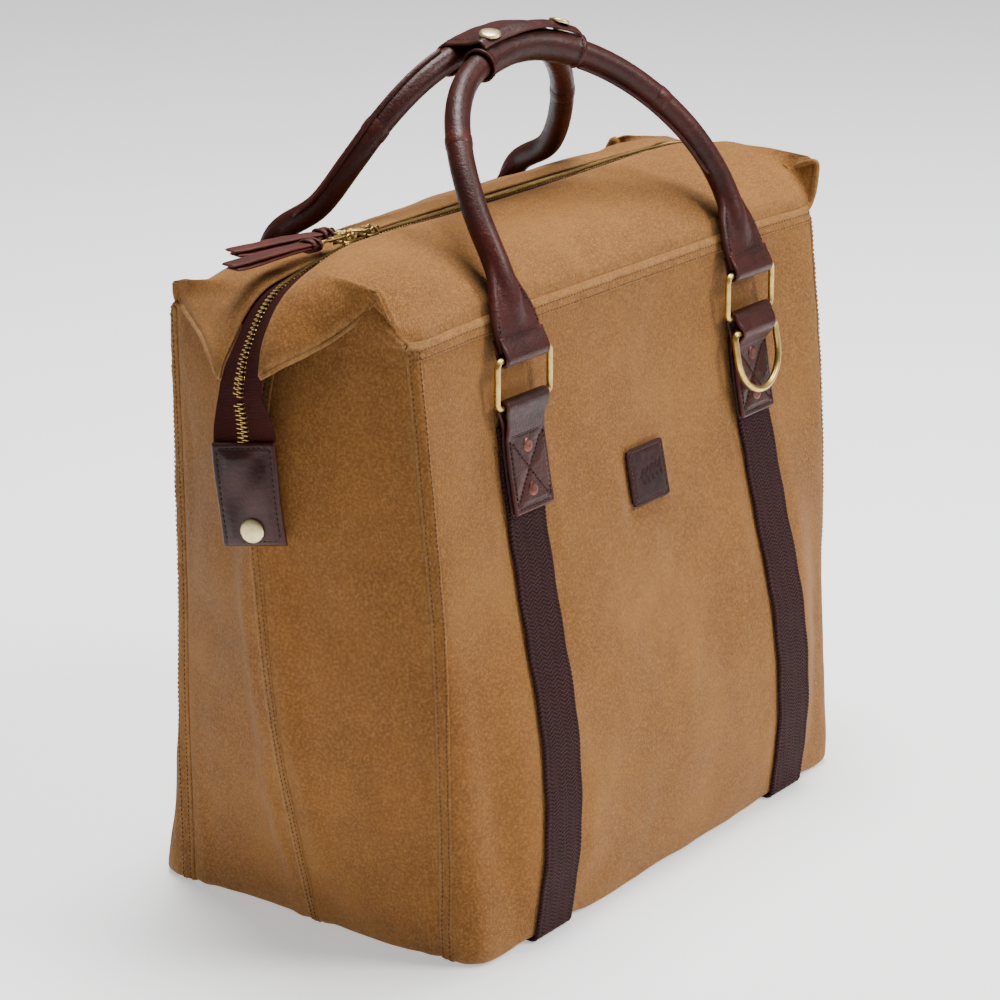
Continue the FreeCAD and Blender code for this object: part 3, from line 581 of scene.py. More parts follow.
def lining_material():
    n = Nodes("lining_cotton")
    place, cloth = n.object_place(), n.cloth_place()
    threads = n.maths("ADD", n.maths("MULTIPLY", n.waves(cloth, 0.7 * MM, 0.0, 0.5), 0.5),
                      n.maths("MULTIPLY", n.waves(cloth, 0.7 * MM, math.pi / 2, 0.5), 0.5))
    cloudy = n.noise(place, 40, 4, 0.6)
    colour = n.ramp(cloudy, (0.3, rgb(70, 58, 46)), (0.7, rgb(92, 78, 62)))
    colour = n.mix(n.level(threads, 0.2, 0.8, 0.25, 0.0), colour, rgb(48, 40, 32))
    return n.finish(colour, n.level(cloudy, 0.3, 0.7, 0.8, 0.92), n.bump(threads, 0.4, 0.3 * MM))


def floor_material():
    n = Nodes("pale_floor")
    place = n.object_place()
    faint = n.noise(place, 3, 3, 0.5)
    colour = n.ramp(faint, (0.0, (0.93, 0.93, 0.93)), (1.0, (0.96, 0.96, 0.96)))
    return n.finish(colour, 0.9, Specular_IOR_Level=0.1, Emission_Color=(1, 1, 1, 1), Emission_Strength=0.5)


CANVAS = canvas_material()
LEATHER = leather_material("oxblood_leather", rgb(30, 7, 4), rgb(68, 21, 13), 0.33)
TAB_LEATHER = leather_material("tab_leather", rgb(24, 5, 3), rgb(62, 18, 12), 0.32, 2.4 * MM, 0.2)
RAW_LEATHER = leather_material("raw_leather_edge", rgb(26, 9, 6), rgb(50, 20, 15), 0.62)
PATCH_LEATHER = leather_material("patch_leather", rgb(22, 4, 4), rgb(48, 13, 12), 0.60)
LACE_LEATHER = leather_material("lace_leather", rgb(46, 14, 9), rgb(84, 34, 25), 0.56)
WEBBING = webbing_material()
BRASS = metal_material("antique_brass", rgb(214, 182, 108), rgb(128, 94, 48), 0.24)
PALE_BRASS = metal_material("pale_brass", rgb(222, 206, 158), rgb(168, 142, 92), 0.30, 0.4)
DARK_BRASS = metal_material("dark_brass", rgb(176, 146, 88), rgb(62, 48, 34), 0.34, 0.85)
ZIP_BRASS = metal_material("zip_brass", rgb(206, 172, 104), rgb(120, 88, 44), 0.26, 0.5)
COPPER = metal_material("aged_copper", rgb(120, 76, 66), rgb(54, 28, 26), 0.36, 0.8)
TAPE = tape_material()
LINING = lining_material()
# The canvas thread is coloured far darker than the cloth: painted shade of the needle holes and the dips round each
# stitch.
CANVAS_THREAD_PAINTED_SHADE = thread_material("canvas_thread_painted_shade", rgb(54, 31, 12), rgb(92, 58, 27))
CORD = thread_material("handle_cord", rgb(120, 100, 76), rgb(168, 148, 118))
BOARD = thread_material("grey_board", rgb(70, 62, 52), rgb(112, 102, 88))
LEATHER_THREAD = thread_material("leather_thread", rgb(12, 4, 4), rgb(36, 14, 12))
PATCH_THREAD = thread_material("patch_thread", rgb(66, 30, 30), rgb(104, 60, 58))


# ---------------------------------------------------------------- the canvas body

GRIDS = {}


def levels(z, front):
    """At a height: the wall's depth at its middle, corner and seam, the seam's distance and the ridge's."""
    rows = through(LEVELS[:, 0], LEVELS[:, 1:], np.clip(z, 0, RIM))
    first = 1 if front < 0 else 3
    return rows[..., 0], rows[..., first], rows[..., first + 1], rows[..., 5], rows[..., 6]


def sag(x, z):
    """How far the cloth sinks to the ground where no strap holds it up."""
    off_strap = np.abs(np.abs(x) - STRAP_FOOT_X) - STRAP_WIDTH / 2
    return 1.7 * MM * smoothstep(4 * MM, 26 * MM, off_strap) * (1 - smoothstep(0, 34 * MM, z))


def foot_inset(z):
    """How far the wall turns in where it rounds into the bottom."""
    low = np.clip(FOOT_ROUND + FOOT_LIFT - np.asarray(z, float), 0, FOOT_ROUND)
    return FOOT_ROUND - np.sqrt(FOOT_ROUND**2 - low**2)


def broad_depth(x, z, front=-1):
    """The wall's depth at any distance from the middle: flat, then easing towards the corner."""
    middle, corner, seam, reach, _ = levels(z, front)
    share = smoothstep(0, 1, (np.abs(x) - FLAT_HALF) / (reach - corner + seam - FLAT_HALF))
    return middle + (corner - middle) * share - foot_inset(z)


def broad_wall(share, z, front):
    """A point of the front or back panel. share runs from -1 to 1 between its side seams."""
    _, corner, seam, reach, _ = levels(z, front)
    reach, corner = reach - foot_inset(z), corner - foot_inset(z)
    turn = 1.15 * (corner - seam) + 3 * MM
    flat = reach - turn
    split = flat / (flat + turn + corner - seam)
    x = np.minimum(np.abs(share) / split, 1) * flat
    y = broad_depth(x, z, front)
    # Past the flat, a rational curve turns the corner; it is tighter towards the foot.
    t = np.clip((np.abs(share) - split) / (1 - split), 0, 1)
    pull = 2 * (1.15 + 1.6 * bell(z, 70 * MM)) * t * (1 - t)
    total = (1 - t) ** 2 + pull + t**2
    x = x + (((1 - t) ** 2 * flat + (pull + t**2) * reach) / total - flat) * (t > 0)
    y = np.where(t > 0, (((1 - t) ** 2 + pull) * corner + t**2 * seam) / total, y)
    return np.stack([np.sign(share) * x, front * y, np.broadcast_to(z, x.shape) - sag(x, z)], -1)


def end_wall(share, z, side):
    """A point of an end. share runs from -1 at the front seam, over the ridge at 0, to 1 at the back seam."""
    seam = np.where(share < 0, levels(z, -1)[2], levels(z, 1)[2])
    _, _, _, reach, ridge = levels(z, -1)
    prow = (1 - np.abs(share)) * (1 + 0.32 * np.abs(share))
    x = reach + (ridge - reach) * prow - foot_inset(z)
    return np.stack([side * x, share * seam, np.broadcast_to(z, x.shape) - sag(x, z)], -1)


def strap_x(z):
    """The distance of each strap from the middle: the two draw together towards the top."""
    return STRAP_FOOT_X + (STRAP_TOP_X - STRAP_FOOT_X) * np.clip(z / RIM, 0, 1)


def settle(grid, seam_room, seed, deep=2.4 * MM, flatten=None):
    """The cloth's own unevenness: broad hollows and swells, small puckers at the seams, and a puffed edge.

    seam_room is each point's distance from the nearest seam, where the cloth stays put.
    """
    free = smoothstep(0, 26 * MM, seam_room)
    broad = clouds(grid, 95 * MM, seed) * deep + clouds(grid, 42 * MM, seed + 7) * deep * 0.42
    fine = clouds(grid, 15 * MM, seed + 13) * 0.35 * MM
    puckers = clouds(grid, 8 * MM, seed + 21) * 0.6 * MM * bell(seam_room - 5 * MM, 6 * MM)
    puff = 1.3 * MM * bell(seam_room - 9 * MM, 6 * MM)
    shift = broad * free + fine * smoothstep(0, 6 * MM, seam_room)
    shift = shift + (puckers + puff) * smoothstep(0, 3 * MM, seam_room)
    if flatten is not None:
        shift = shift * (1 - flatten) - 0.6 * MM * flatten
    return grid + grid_normals(grid) * shift[..., None]


def heights(top):
    """Heights up a wall, close together where it rounds into the bottom."""
    low = FOOT_ROUND * (1 - np.cos(np.linspace(0, math.pi / 2, 8)))
    wall = np.arange(FOOT_LIFT + FOOT_ROUND + 3 * MM, top - 2 * MM, 3.4 * MM)
    return np.concatenate([low + FOOT_LIFT, wall, [top]])


def canvas_piece(name, grid, wear):
    """A panel of the body, whose grid is kept for the seams along its edges."""
    GRIDS[name] = grid
    return sheet_piece(name, grid, CLOTH, CANVAS, "bag", np.clip(wear, 0, 1))


def broad_panel(name, front, seed):
    """The front or back panel: flat under the straps and the patch, uneven everywhere else."""
    z = heights(RIM)[:, None]
    share, z = np.broadcast_arrays(np.linspace(-1, 1, 130)[None, :] * front, z)
    grid = broad_wall(share, z, front)
    room = np.minimum((1 - np.abs(share)) * 235 * MM, RIM - z)
    off_strap = np.abs(np.abs(grid[..., 0]) - strap_x(z)) - STRAP_WIDTH / 2
    flatten = (1 - smoothstep(1 * MM, 16 * MM, off_strap)) * (1 - smoothstep(330 * MM, 372 * MM, z))
    if front < 0:
        beside_patch = np.abs(grid[..., 0]) - PATCH_WIDTH / 2
        off_patch = np.maximum(beside_patch, np.abs(z - PATCH_CENTRE) - PATCH_HEIGHT / 2)
        flatten = np.maximum(flatten, 1 - smoothstep(0, 14 * MM, off_patch))
    bulge = 2.0 * MM * bell(z - 24 * MM, 16 * MM) * clouds(grid, 60 * MM, seed + 31) * smoothstep(0, 9 * MM, z)
    grid = settle(grid, room, seed, 2.8 * MM, flatten)
    grid = grid + grid_normals(grid) * (bulge * (1 - flatten))[..., None]
    wear = 0.35 * bell(room, 4 * MM) + 0.5 * bell(z, 12 * MM)
    return canvas_piece(name, grid, wear)


# Under the hood the end goes on up and inwards. Points from the front seam, over the ridge, to the back seam.
LEFT_END_TOP = np.array([
    (-1, -222, -86.5, 389), (-0.86, -221.8, -75, 402), (-0.72, -219.4, -63, 413), (-0.5, -221, -44, 404),
    (-0.25, -228, -22, 394), (0, -231, 0, 388), (0.3, -228, 27, 386.5), (0.62, -224, 56, 386.8),
    (0.86, -221.5, 78, 388), (1, -221, 87.5, 389),
]) * np.array([1, MM, MM, MM])
RIGHT_END_TOP = np.array([
    (-1, 222, -87.5, 389), (-0.86, 223, -82, 404), (-0.72, 221, -73, 416), (-0.5, 223, -48, 404),
    (-0.25, 228, -22, 394), (0, 231, 0, 388), (0.25, 228, 22, 392), (0.5, 221, 44, 402),
    (0.72, 219.4, 62, 411), (0.86, 221.8, 75, 400), (1, 222, 86.5, 389),
]) * np.array([1, MM, MM, MM])


def end_panel(name, side, half, tops, seed):
    """Half of one end, from the ridge to the front or back seam, with what goes up under the hood."""
    up = heights(RIM)
    share = np.concatenate([np.linspace(0, 0.08, 6)[:-1], np.linspace(0.08, 1, 42)])
    share = share if half * side < 0 else share[::-1]
    share = share * half
    wall = end_wall(*np.broadcast_arrays(share[None, :], up[:, None]), side)
    top = through(tops[:, 0], tops[:, 1:], share)
    rise = np.linspace(0, 1, 10)[1:, None, None]
    over = wall[-1][None] * (1 - rise) + top[None] * rise
    over = over + np.array([side, 0, 0]) * (3 * MM * np.sin(rise * math.pi))
    grid = np.concatenate([wall, over])
    share = np.broadcast_to(share[None, :], grid.shape[:2])
    z = grid[..., 2]
    to_seam = (1 - np.abs(share)) * 100 * MM
    to_ridge = np.abs(share) * 100 * MM
    to_top = np.broadcast_to(np.linspace(1, 0, len(grid))[:, None], grid.shape[:2]) * 60 * MM
    room = np.minimum(np.minimum(to_seam, to_ridge), to_top)
    grid = settle(grid, room, seed, 3.9 * MM)
    # Folds that run up the ridge seam, and a hollow beside it where the end is pinched under the tail.
    fold = 2.6 * MM * bell(to_ridge - 13 * MM - 10 * MM * clouds(grid, 120 * MM, seed + 3), 7 * MM)
    fold = fold * smoothstep(20 * MM, 70 * MM, z) * (1 - smoothstep(210 * MM, 270 * MM, z))
    pinch = 3.0 * MM * bell(to_ridge - 26 * MM, 16 * MM) * bell(z - 262 * MM, 60 * MM)
    grid = grid + grid_normals(grid) * (fold - pinch)[..., None]
    wear = 0.35 * bell(to_seam, 4 * MM) + 0.4 * bell(to_ridge, 4 * MM) + 0.5 * bell(z, 12 * MM)
    return canvas_piece(name, grid, wear)


def row(tape_x, tape_z, edge_x, edge_y, edge_z, bow_x, bow_y, bow_z):
    return tuple(value * MM for value in (tape_x, tape_z, edge_x, edge_y, edge_z, bow_x, bow_y, bow_z))


# Rows of a top panel, from the foot of one hood to the other: the zip tape's edge (x, z), the panel's outer
# edge (x, y, z), and the point (x, y, z) that the cloth bows towards between them. y is given for the front.
MIDDLE_ROWS = [
    row(-180, 428, -190, -89.5, 388, -185, -73, 424), row(-150, 429, -150, -87.5, 388, -150, -71, 424),
    row(-75, 428, -75, -87.5, 388, -75, -71, 423), row(0, 428, 0, -87.5, 388, 0, -71, 423.5),
    row(75, 429, 75, -87.5, 388, 75, -71, 423), row(150, 430, 150, -87.5, 388, 150, -71, 424),
    row(180, 429, 190, -90, 388, 185, -75, 425),
]
LEFT_HOOD_ROWS = [
    row(-272, 369, -271.5, -18, 368.5, -272, -17.8, 369), row(-269.5, 383, -264, -25.5, 374, -268, -21, 380),
    row(-263, 396, -249, -34.5, 380.5, -258, -27, 391), row(-254, 407, -235.5, -43.5, 388, -247, -32, 401),
    row(-244, 414.5, -228.5, -54, 397.5, -238, -38, 411), row(-234, 418.5, -223.5, -61.5, 407, -230, -43, 418),
    row(-226, 420.5, -223, -66.5, 417, -226, -45, 423), row(-217, 422, -222.8, -76, 402.5, -222, -55, 422),
    row(-208, 423.5, -222, -86.5, 389, -217, -64, 422), row(-196, 425.5, -212, -91, 388, -204, -72, 424),
]
RIGHT_HOOD_ROWS = [
    row(196, 427, 212, -91.5, 388, 204, -78, 427), row(208, 425.5, 223.5, -92, 390, 217, -78, 427),
    row(217, 424, 226, -95, 406, 224, -76, 426), row(226, 422, 227, -94, 419, 227, -72, 427),
    row(234, 419, 226, -84, 417, 231, -60, 423), row(243, 415, 228, -70, 404, 238, -46, 413),
    row(253, 407, 238, -52, 389, 248, -33, 401), row(262, 396, 251, -39, 381, 258, -27, 391),
    row(269, 383, 265, -27, 374, 268, -21, 380), row(271, 369, 271, -18, 368.5, 271, -17.8, 369),
]
BACK_LEFT_ROWS = [
    row(-266, 361, -265.5, -18, 360.5, -266, -17.8, 361), row(-262, 370, -260.5, -29, 372, -263, -23, 373),
    row(-256, 377.5, -251, -42, 378, -256, -30, 381), row(-250, 385, -241, -56, 381.5, -248, -37, 387),
    row(-243, 393.5, -230, -73, 386, -239, -45, 395), row(-235, 401, -222, -85, 392, -230, -52, 402),
    row(-226, 407, -221.5, -89, 401, -225, -58, 409), row(-215, 411, -221.5, -89, 393, -220, -62, 413),
    row(-205, 413.5, -220, -88.5, 388.5, -214, -66, 415), row(-192, 416, -205, -87.5, 388, -199, -69, 418),
]
BACK_MIDDLE_ROWS = [
    row(-177, 418, -185, -87.5, 388, -181, -71, 419), row(-140, 424, -140, -87.5, 388, -140, -71, 421),
    row(-60, 426.5, -60, -87.5, 388, -60, -71, 423), row(60, 427, 60, -87.5, 388, 60, -71, 422),
    row(150, 426, 150, -87.5, 388, 150, -71, 423), row(180, 425, 190, -87.5, 388, 185, -72, 422),
]


def mirrored(rows):
    """Hood rows for the other end of the bag."""
    return [(-tx, tz, -ex, ey, ez, -bx, by, bz) for tx, tz, ex, ey, ez, bx, by, bz in reversed(rows)]


FRONT_ROWS = LEFT_HOOD_ROWS + MIDDLE_ROWS + RIGHT_HOOD_ROWS
BACK_ROWS = BACK_LEFT_ROWS + BACK_MIDDLE_ROWS + mirrored(LEFT_HOOD_ROWS)


def tape_half(x):
    """Half the width of zip tape that shows: narrow along the top, all of it in the tails."""
    return TAPE_HALF * (0.60 + 0.40 * smoothstep(188 * MM, 245 * MM, np.abs(x)))


def tape_edge(rows, front):
    """The line where a top panel is sewn to the zip tape."""
    rows = np.array(rows)
    return curve(np.stack([rows[:, 0], front * tape_half(rows[:, 0]), rows[:, 1]], -1), 1 * MM)


def top_panel(name, rows, front, seed):
    """One side of the top, from the zip down over the rim, with the hoods at its two ends."""
    rows = np.array(rows)
    along = run_length(rows[:, :5])
    fine = through(along, rows, np.linspace(0, along[-1], 260))
    tape = np.stack([fine[:, 0], -tape_half(fine[:, 0]), fine[:, 1]], -1)
    edge, bow = fine[:, 2:5], fine[:, 5:8]
    t = np.linspace(0, 1, 36)[None, :, None]
    grid = (1 - t) ** 2 * tape[:, None] + 2 * t * (1 - t) * bow[:, None] + t**2 * edge[:, None]
    grid[..., 1] *= -front
    length = np.linalg.norm(edge - tape, axis=1)[:, None]
    if front < 0:
        grid, length = grid[::-1], length[::-1]
    t = np.broadcast_to(t[..., 0], grid.shape[:2])
    room = np.minimum(t, 1 - t) * length
    hood = smoothstep(205 * MM, 235 * MM, np.abs(grid[..., 0]))
    fold = smoothstep(222.5 * MM, 229 * MM, np.abs(grid[:, -1:, 0]))
    grid = settle(grid, room, seed, 3.4 * MM * (1 - 0.5 * hood))
    # Drag lines from the zip down towards the handles.
    drag = 1.6 * MM * clouds(grid * np.array([1, 0.28, 0.28]), 34 * MM, seed + 40)
    grid = grid + grid_normals(grid) * (drag * smoothstep(4 * MM, 26 * MM, room))[..., None]
    wear = (0.25 + 0.7 * fold) * bell((1 - t) * length, 4 * MM) + 0.3 * bell(t * length, 3 * MM)
    return canvas_piece(name, grid, wear)


def outline_loop(run, z):
    """The bag's outline at a height, once round: front, right end, back, left end."""
    front, back = broad_wall(run, z, -1), broad_wall(run, z, 1)
    right, left = end_wall(run, z, 1), end_wall(run, z, -1)
    return np.concatenate([front, right[..., 1:-1, :], back[..., ::-1, :], left[..., ::-1, :][..., 1:-1, :]], -2)


def bottom_panel():
    """The bottom, a little lifted towards its middle, inside the walls' rounded foot."""
    rim = outline_loop(np.linspace(-1, 1, 60), np.full(60, FOOT_LIFT))
    shrink = np.linspace(0.02, 1, 24)[:, None, None]
    grid = rim[None] * np.concatenate([shrink, shrink, np.ones_like(shrink)], -1)
    inward = 1 - smoothstep(0.8, 1.0, shrink[..., 0])
    grid[..., 2] = FOOT_LIFT + (0.3 + 1.4 * inward) * MM - sag(grid[..., 0], 0 * grid[..., 0]) * (1 - inward)
    rows, cols = grid.shape[:2]
    verts = grid.reshape(-1, 3)
    wear = np.broadcast_to(0.5 * smoothstep(0.8, 1, shrink[..., 0]), (rows, cols))
    piece = mesh_piece("bottom_canvas", verts, quads(rows, cols, wrap_cols=True), CANVAS, "bag",
                       verts[:, :2], wear)
    thicken(piece, CLOTH, 1)
    return piece


def build_canvas():
    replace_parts(broad_panel("front_canvas", -1, 3.1), "front_panel")
    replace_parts(broad_panel("back_canvas", 1, 17.4), "back_panel")
    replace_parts(end_panel("left_end_front_canvas", -1, -1, LEFT_END_TOP, 5.2), "left_end_front")
    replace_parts(end_panel("left_end_back_canvas", -1, 1, LEFT_END_TOP, 9.3), "left_end_back")
    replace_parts(end_panel("right_end_front_canvas", 1, -1, RIGHT_END_TOP, 12.7), "right_end_front")
    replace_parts(end_panel("right_end_back_canvas", 1, 1, RIGHT_END_TOP, 14.8), "right_end_back")
    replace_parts(top_panel("top_front_canvas", FRONT_ROWS, -1, 23.5), "top_panel_front")
    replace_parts(top_panel("top_back_canvas", BACK_ROWS, 1, 27.9), "top_panel_back")
    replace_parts(bottom_panel(), "bottom_panel")


# ---------------------------------------------------------------- camera, light and floor

CAMERA_AZIMUTH, CAMERA_ELEVATION, CAMERA_ROLL = math.radians(-54.42), math.radians(17.71), math.radians(-0.09)
CAMERA_PLACE = (-1.6838, -1.1981, 0.8809)
LENS, SENSOR = 119.3, 36.0
LIT_POINT = Vector((0, 0, 0.25))
FLOOR_HALF = 12.0
WORLD_STRENGTH = 0.185


def build_stage():
    """The camera, an endless pale floor, three lamps and a white sky."""
    back = Vector((math.sin(CAMERA_AZIMUTH) * math.cos(CAMERA_ELEVATION),
                   -math.cos(CAMERA_AZIMUTH) * math.cos(CAMERA_ELEVATION), math.sin(CAMERA_ELEVATION)))
    right = Vector((0, 0, 1)).cross(back).normalized()
    turn = Matrix((right, back.cross(right), back)).transposed() @ Matrix.Rotation(CAMERA_ROLL, 3, "Z")
    camera = bpy.data.objects.new("camera", bpy.data.cameras.new("camera"))
    camera.matrix_world = Matrix.Translation(CAMERA_PLACE) @ turn.to_4x4()
    camera.data.lens, camera.data.sensor_width = LENS, SENSOR
    camera.data.clip_end = 50
    bpy.context.scene.collection.objects.link(camera)
    bpy.context.scene.camera = camera

    corners = [(x * FLOOR_HALF, y * FLOOR_HALF, 0) for x, y in ((-1, -1), (1, -1), (1, 1), (-1, 1))]
    mesh = bpy.data.meshes.new("floor")
    mesh.from_pydata(corners, [], [(0, 1, 2, 3)])
    mesh.materials.append(floor_material())
    floor = bpy.data.objects.new("floor", mesh)
    bpy.context.scene.collection.objects.link(floor)

    def lamp(name, place, size, power, colour=(1, 1, 1)):
        light = bpy.data.lights.new(name, "AREA")
        light.shape, light.size = "DISK", size
        light.energy, light.color = power, colour
        holder = bpy.data.objects.new(name, light)
        holder.location = place
        holder.rotation_euler = (LIT_POINT - Vector(place)).to_track_quat("-Z", "Y").to_euler()
        bpy.context.scene.collection.objects.link(holder)

    lamp("key_light", (1.2, -2.4, 2.5), 1.3, 112, (1.0, 0.99, 0.97))
    lamp("top_light", (0.35, 0.2, 3.0), 1.4, 165)
    lamp("left_light", (-3.0, 0.4, 1.6), 1.8, 1.5, (0.98, 0.99, 1.0))

    world = bpy.data.worlds.new("studio")
    world.use_nodes = True
    background = world.node_tree.nodes["Background"]
    background.inputs["Color"].default_value = (1, 1, 1, 1)
    background.inputs["Strength"].default_value = WORLD_STRENGTH
    bpy.context.scene.world = world


def build_lining():
    """A thin skin just inside the canvas, from the board up to the rim."""
    z = np.linspace(14 * MM, RIM - 2 * MM, 40)[:, None]
    loop = outline_loop(*np.broadcast_arrays(np.linspace(-1, 1, 50)[None, :], z))
    shrink = 1 - LINING_ROOM / np.linalg.norm(loop[..., :2], axis=-1, keepdims=True)
    loop = loop * np.concatenate([shrink, shrink, np.ones_like(shrink)], -1)
    rows, cols = loop.shape[:2]
    verts = loop.reshape(-1, 3)
    faces = quads(rows, cols, wrap_cols=True)[:, ::-1]
    piece = mesh_piece("lining_cloth", verts, faces, LINING, "bag", verts[:, [0, 2]], np.zeros(len(verts)))
    thicken(piece, 0.8 * MM)
    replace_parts(piece, "lining")


# ---------------------------------------------------------------- sewn seams

def beside(name, edge, distances, lift=0.0):
    """Points and normals of a canvas grid at distances in from one of its edges, one line for each distance."""
    grid = GRIDS[name]
    normals = grid_normals(grid)
    if edge in ("top", "bottom"):
        grid, normals = grid.transpose(1, 0, 2), normals.transpose(1, 0, 2)
    if edge in ("right", "top"):
        grid, normals = grid[:, ::-1], normals[:, ::-1]
    points = np.empty((len(distances), len(grid), 3))
    facing = np.empty_like(points)
    for i in range(len(grid)):
        along = run_length(grid[i])
        points[:, i] = read_at(distances, along, grid[i])
        facing[:, i] = read_at(distances, along, normals[i])
    facing = unit(facing)
    return points + facing * lift, facing


def felled_seam(name, own, own_edge, other, other_edge, width, trim=(0, None)):
    """A lapped seam: a folded edge of cloth laid on the own side of a seam, with a stitch row down each side.

    trim is the first and last point to keep along the seam.
    """
    lift = 1.0 * MM
    own_lines, own_facing = beside(own, own_edge, np.linspace(0, 1, 6) * width, lift)
    over_lines, over_facing = beside(other, other_edge, np.array([1.8 * MM]), 0.1 * MM)
    nearest = [int(np.argmin(np.linalg.norm(over_lines[0] - p, axis=1))) for p in own_lines[0]]
    own_lines[0] += unit(own_facing[0] + over_facing[0][nearest]) * 0.35 * MM
    own_lines[-1] -= own_facing[-1] * 0.5 * MM
    kept = slice(*trim)
    lines = np.concatenate([over_lines[0][nearest][None], own_lines])[:, kept]
    puckers = clouds(lines, 6 * MM, 55.0) * 0.35 * MM
    grid = lines.transpose(1, 0, 2)
    facing = grid_normals(grid)
    outward = np.sign((facing[:, 3] * own_facing[3, kept]).sum(-1).mean())
    grid = grid + facing * outward * puckers.T[..., None] * np.array([0, 0.3, 1, 1, 1, 0.8, 0.2])[None, :, None]
    if outward < 0:
        grid = grid[::-1]
    wear = np.broadcast_to(np.array([0.1, 0.4, 0.15, 0.0, 0.0, 0.1, 0.3])[None, :], grid.shape[:2])
    sheet_piece(name, grid, 1.1 * MM, CANVAS, "bag", wear)
    stitches = []
    for distance in (1.8 * MM, width - 1.6 * MM):
        path, normals = beside(own, own_edge, np.array([distance]), lift + 0.1 * MM)
        stitches += stitch_parts(path[0, kept], normals[0, kept], length=2.2 * MM, radius=0.36 * MM)
    # The stitches take the thread darkened with painted shade of their needle holes.
    join_parts(name + "_stitches", stitches, CANVAS_THREAD_PAINTED_SHADE, "bag")


def build_seams():
    for face, end, edge, end_edge in (("front", "left", "right", "left"), ("front", "right", "left", "right"),
                                      ("back", "left", "left", "right"), ("back", "right", "right", "left")):
        felled_seam(f"{face}_{end}_seam", f"{face}_canvas", edge, f"{end}_end_{face}_canvas", end_edge, 9 * MM)
    for end, edge, back_edge in (("left", "right", "left"), ("right", "left", "right")):
        felled_seam(f"{end}_ridge_seam", f"{end}_end_front_canvas", edge, f"{end}_end_back_canvas", back_edge,
                    7 * MM, (0, -14))
    for face in ("front", "back"):
        felled_seam(f"{face}_top_seam", f"{face}_canvas", "top", f"top_{face}_canvas", "right", 8 * MM)


# ---------------------------------------------------------------- the zip and its tails

TOOTH_PITCH = 1.4 * MM
# No tooth is nearer than this to the tail's hinge.
TOOTH_GAP = 1.3 * MM
# The tails' hinges, and a distance above and below one.
HINGE_X, HINGE_HEIGHT, HINGE_REACH = 268 * MM, 351.5 * MM, 11 * MM

# The zip beyond the sewn part, down to the tab: the tape's front edge and its back edge at each end of the bag.
TAILS = {
    "left": ([(-272, -17, 369), (-270.5, -16, 359), (-266, -20, 342), (-262, -19.5, 331), (-260.5, -18.5, 322)],
             [(-266, 17, 361), (-267, 17.5, 354), (-269, 18.5, 342), (-271, 18.5, 331), (-272.5, 17.5, 322)]),
    "right": ([(271, -17, 369), (270.5, -17, 359), (269, -17.5, 342), (268, -18, 331), (267, -17.5, 322)],
              [(272, 17, 369), (271, 17, 359), (269, 17.5, 342), (268, 18, 331), (267, 17.5, 322)]),
}


def tape_grid(front, back, spread):
    """The tape between its two edges, widened by a share so that it runs in under the cloth."""
    t = np.linspace(-0.5, 0.5, TAPE_COLUMNS)[None, :, None]
    middle, across = (front + back)[:, None] / 2, (back - front)[:, None]
    return middle + across * t * (1 + spread)


def chain_parts(path, normals):
    """The teeth of the chain: each is a small rounded block, and they come from the two sides in turn."""
    along = run_length(path)
    at = np.arange(0.0, along[-1], TOOTH_PITCH)
    centres, ways, ups = (read_at(at, along, values) for values in (path, tangents(path), unit(normals)))
    ways, ups = unit(ways), unit(ups)
    sides = unit(np.cross(ways, ups))
    ups = unit(np.cross(sides, ways))
    long, wide, tall = 2.1 * MM, 0.5 * MM, 0.95 * MM
    ring = np.array([(-1, -1), (-1, 0.55), (-0.55, 1), (0.55, 1), (1, 0.55), (1, -1)])
    faces = quads(4, 6, wrap_cols=True).tolist() + [[5, 4, 3, 2, 1, 0], [18, 19, 20, 21, 22, 23]]
    parts = []
    for i, (centre, way, side, up) in enumerate(zip(centres, ways, sides, ups)):
        hand = 1 if i % 2 else -1
        rows = []
        for reach, width, height in ((-1.0, 0.8, 0.7), (-0.75, 1.0, 1.0), (0.6, 1.0, 1.0), (1.0, 0.85, 0.75)):
            middle = centre + side * hand * (1.4 * MM + reach * long) + up * 0.35 * MM
            rows.append(middle + way * hand * ring[:, :1] * wide * width + up * ring[:, 1:] * tall * height)
        parts.append((np.concatenate(rows), faces))
    return parts


def build_hems():
    """The rounded folded edge of each hood, with the seam that goes on from it to the bag's corner."""
    for name, rows, front in (("front_left", FRONT_ROWS[:11], -1), ("front_right", FRONT_ROWS[-11:], -1),
                              ("back_left", BACK_ROWS[:11], 1), ("back_right", BACK_ROWS[-11:], 1)):
        line = curve(np.array(rows)[:, 2:5] * np.array([1, -front, 1]), 1.6 * MM)
        fold = smoothstep(222 * MM, 230 * MM, np.abs(line[:, 0]))
        thick = (2.7 * MM - 1.2 * MM * fold) * (1 + 0.12 * clouds(line, 9 * MM, 61.0))
        inward = np.array([-np.sign(line[0, 0]), -front * 0.7, -1.0])
        centre = line + unit(inward) * (0.3 * MM + 2.3 * MM * (1 - fold))[:, None]
        sections = circle(1.0, 14)[None] * thick[:, None, None]
        facing = np.broadcast_to(np.array([np.sign(line[0, 0]) * 0.3, front * 0.6, 0.7]), line.shape)
        ways = tangents(centre)
        facing = unit(facing - ways * (facing * ways).sum(-1, keepdims=True))
        wear = np.broadcast_to((0.1 + 0.4 * fold)[:, None], sections.shape[:2])
        sweep(f"{name}_hood_hem", centre, sections, facing, CANVAS, "bag", wear=wear)


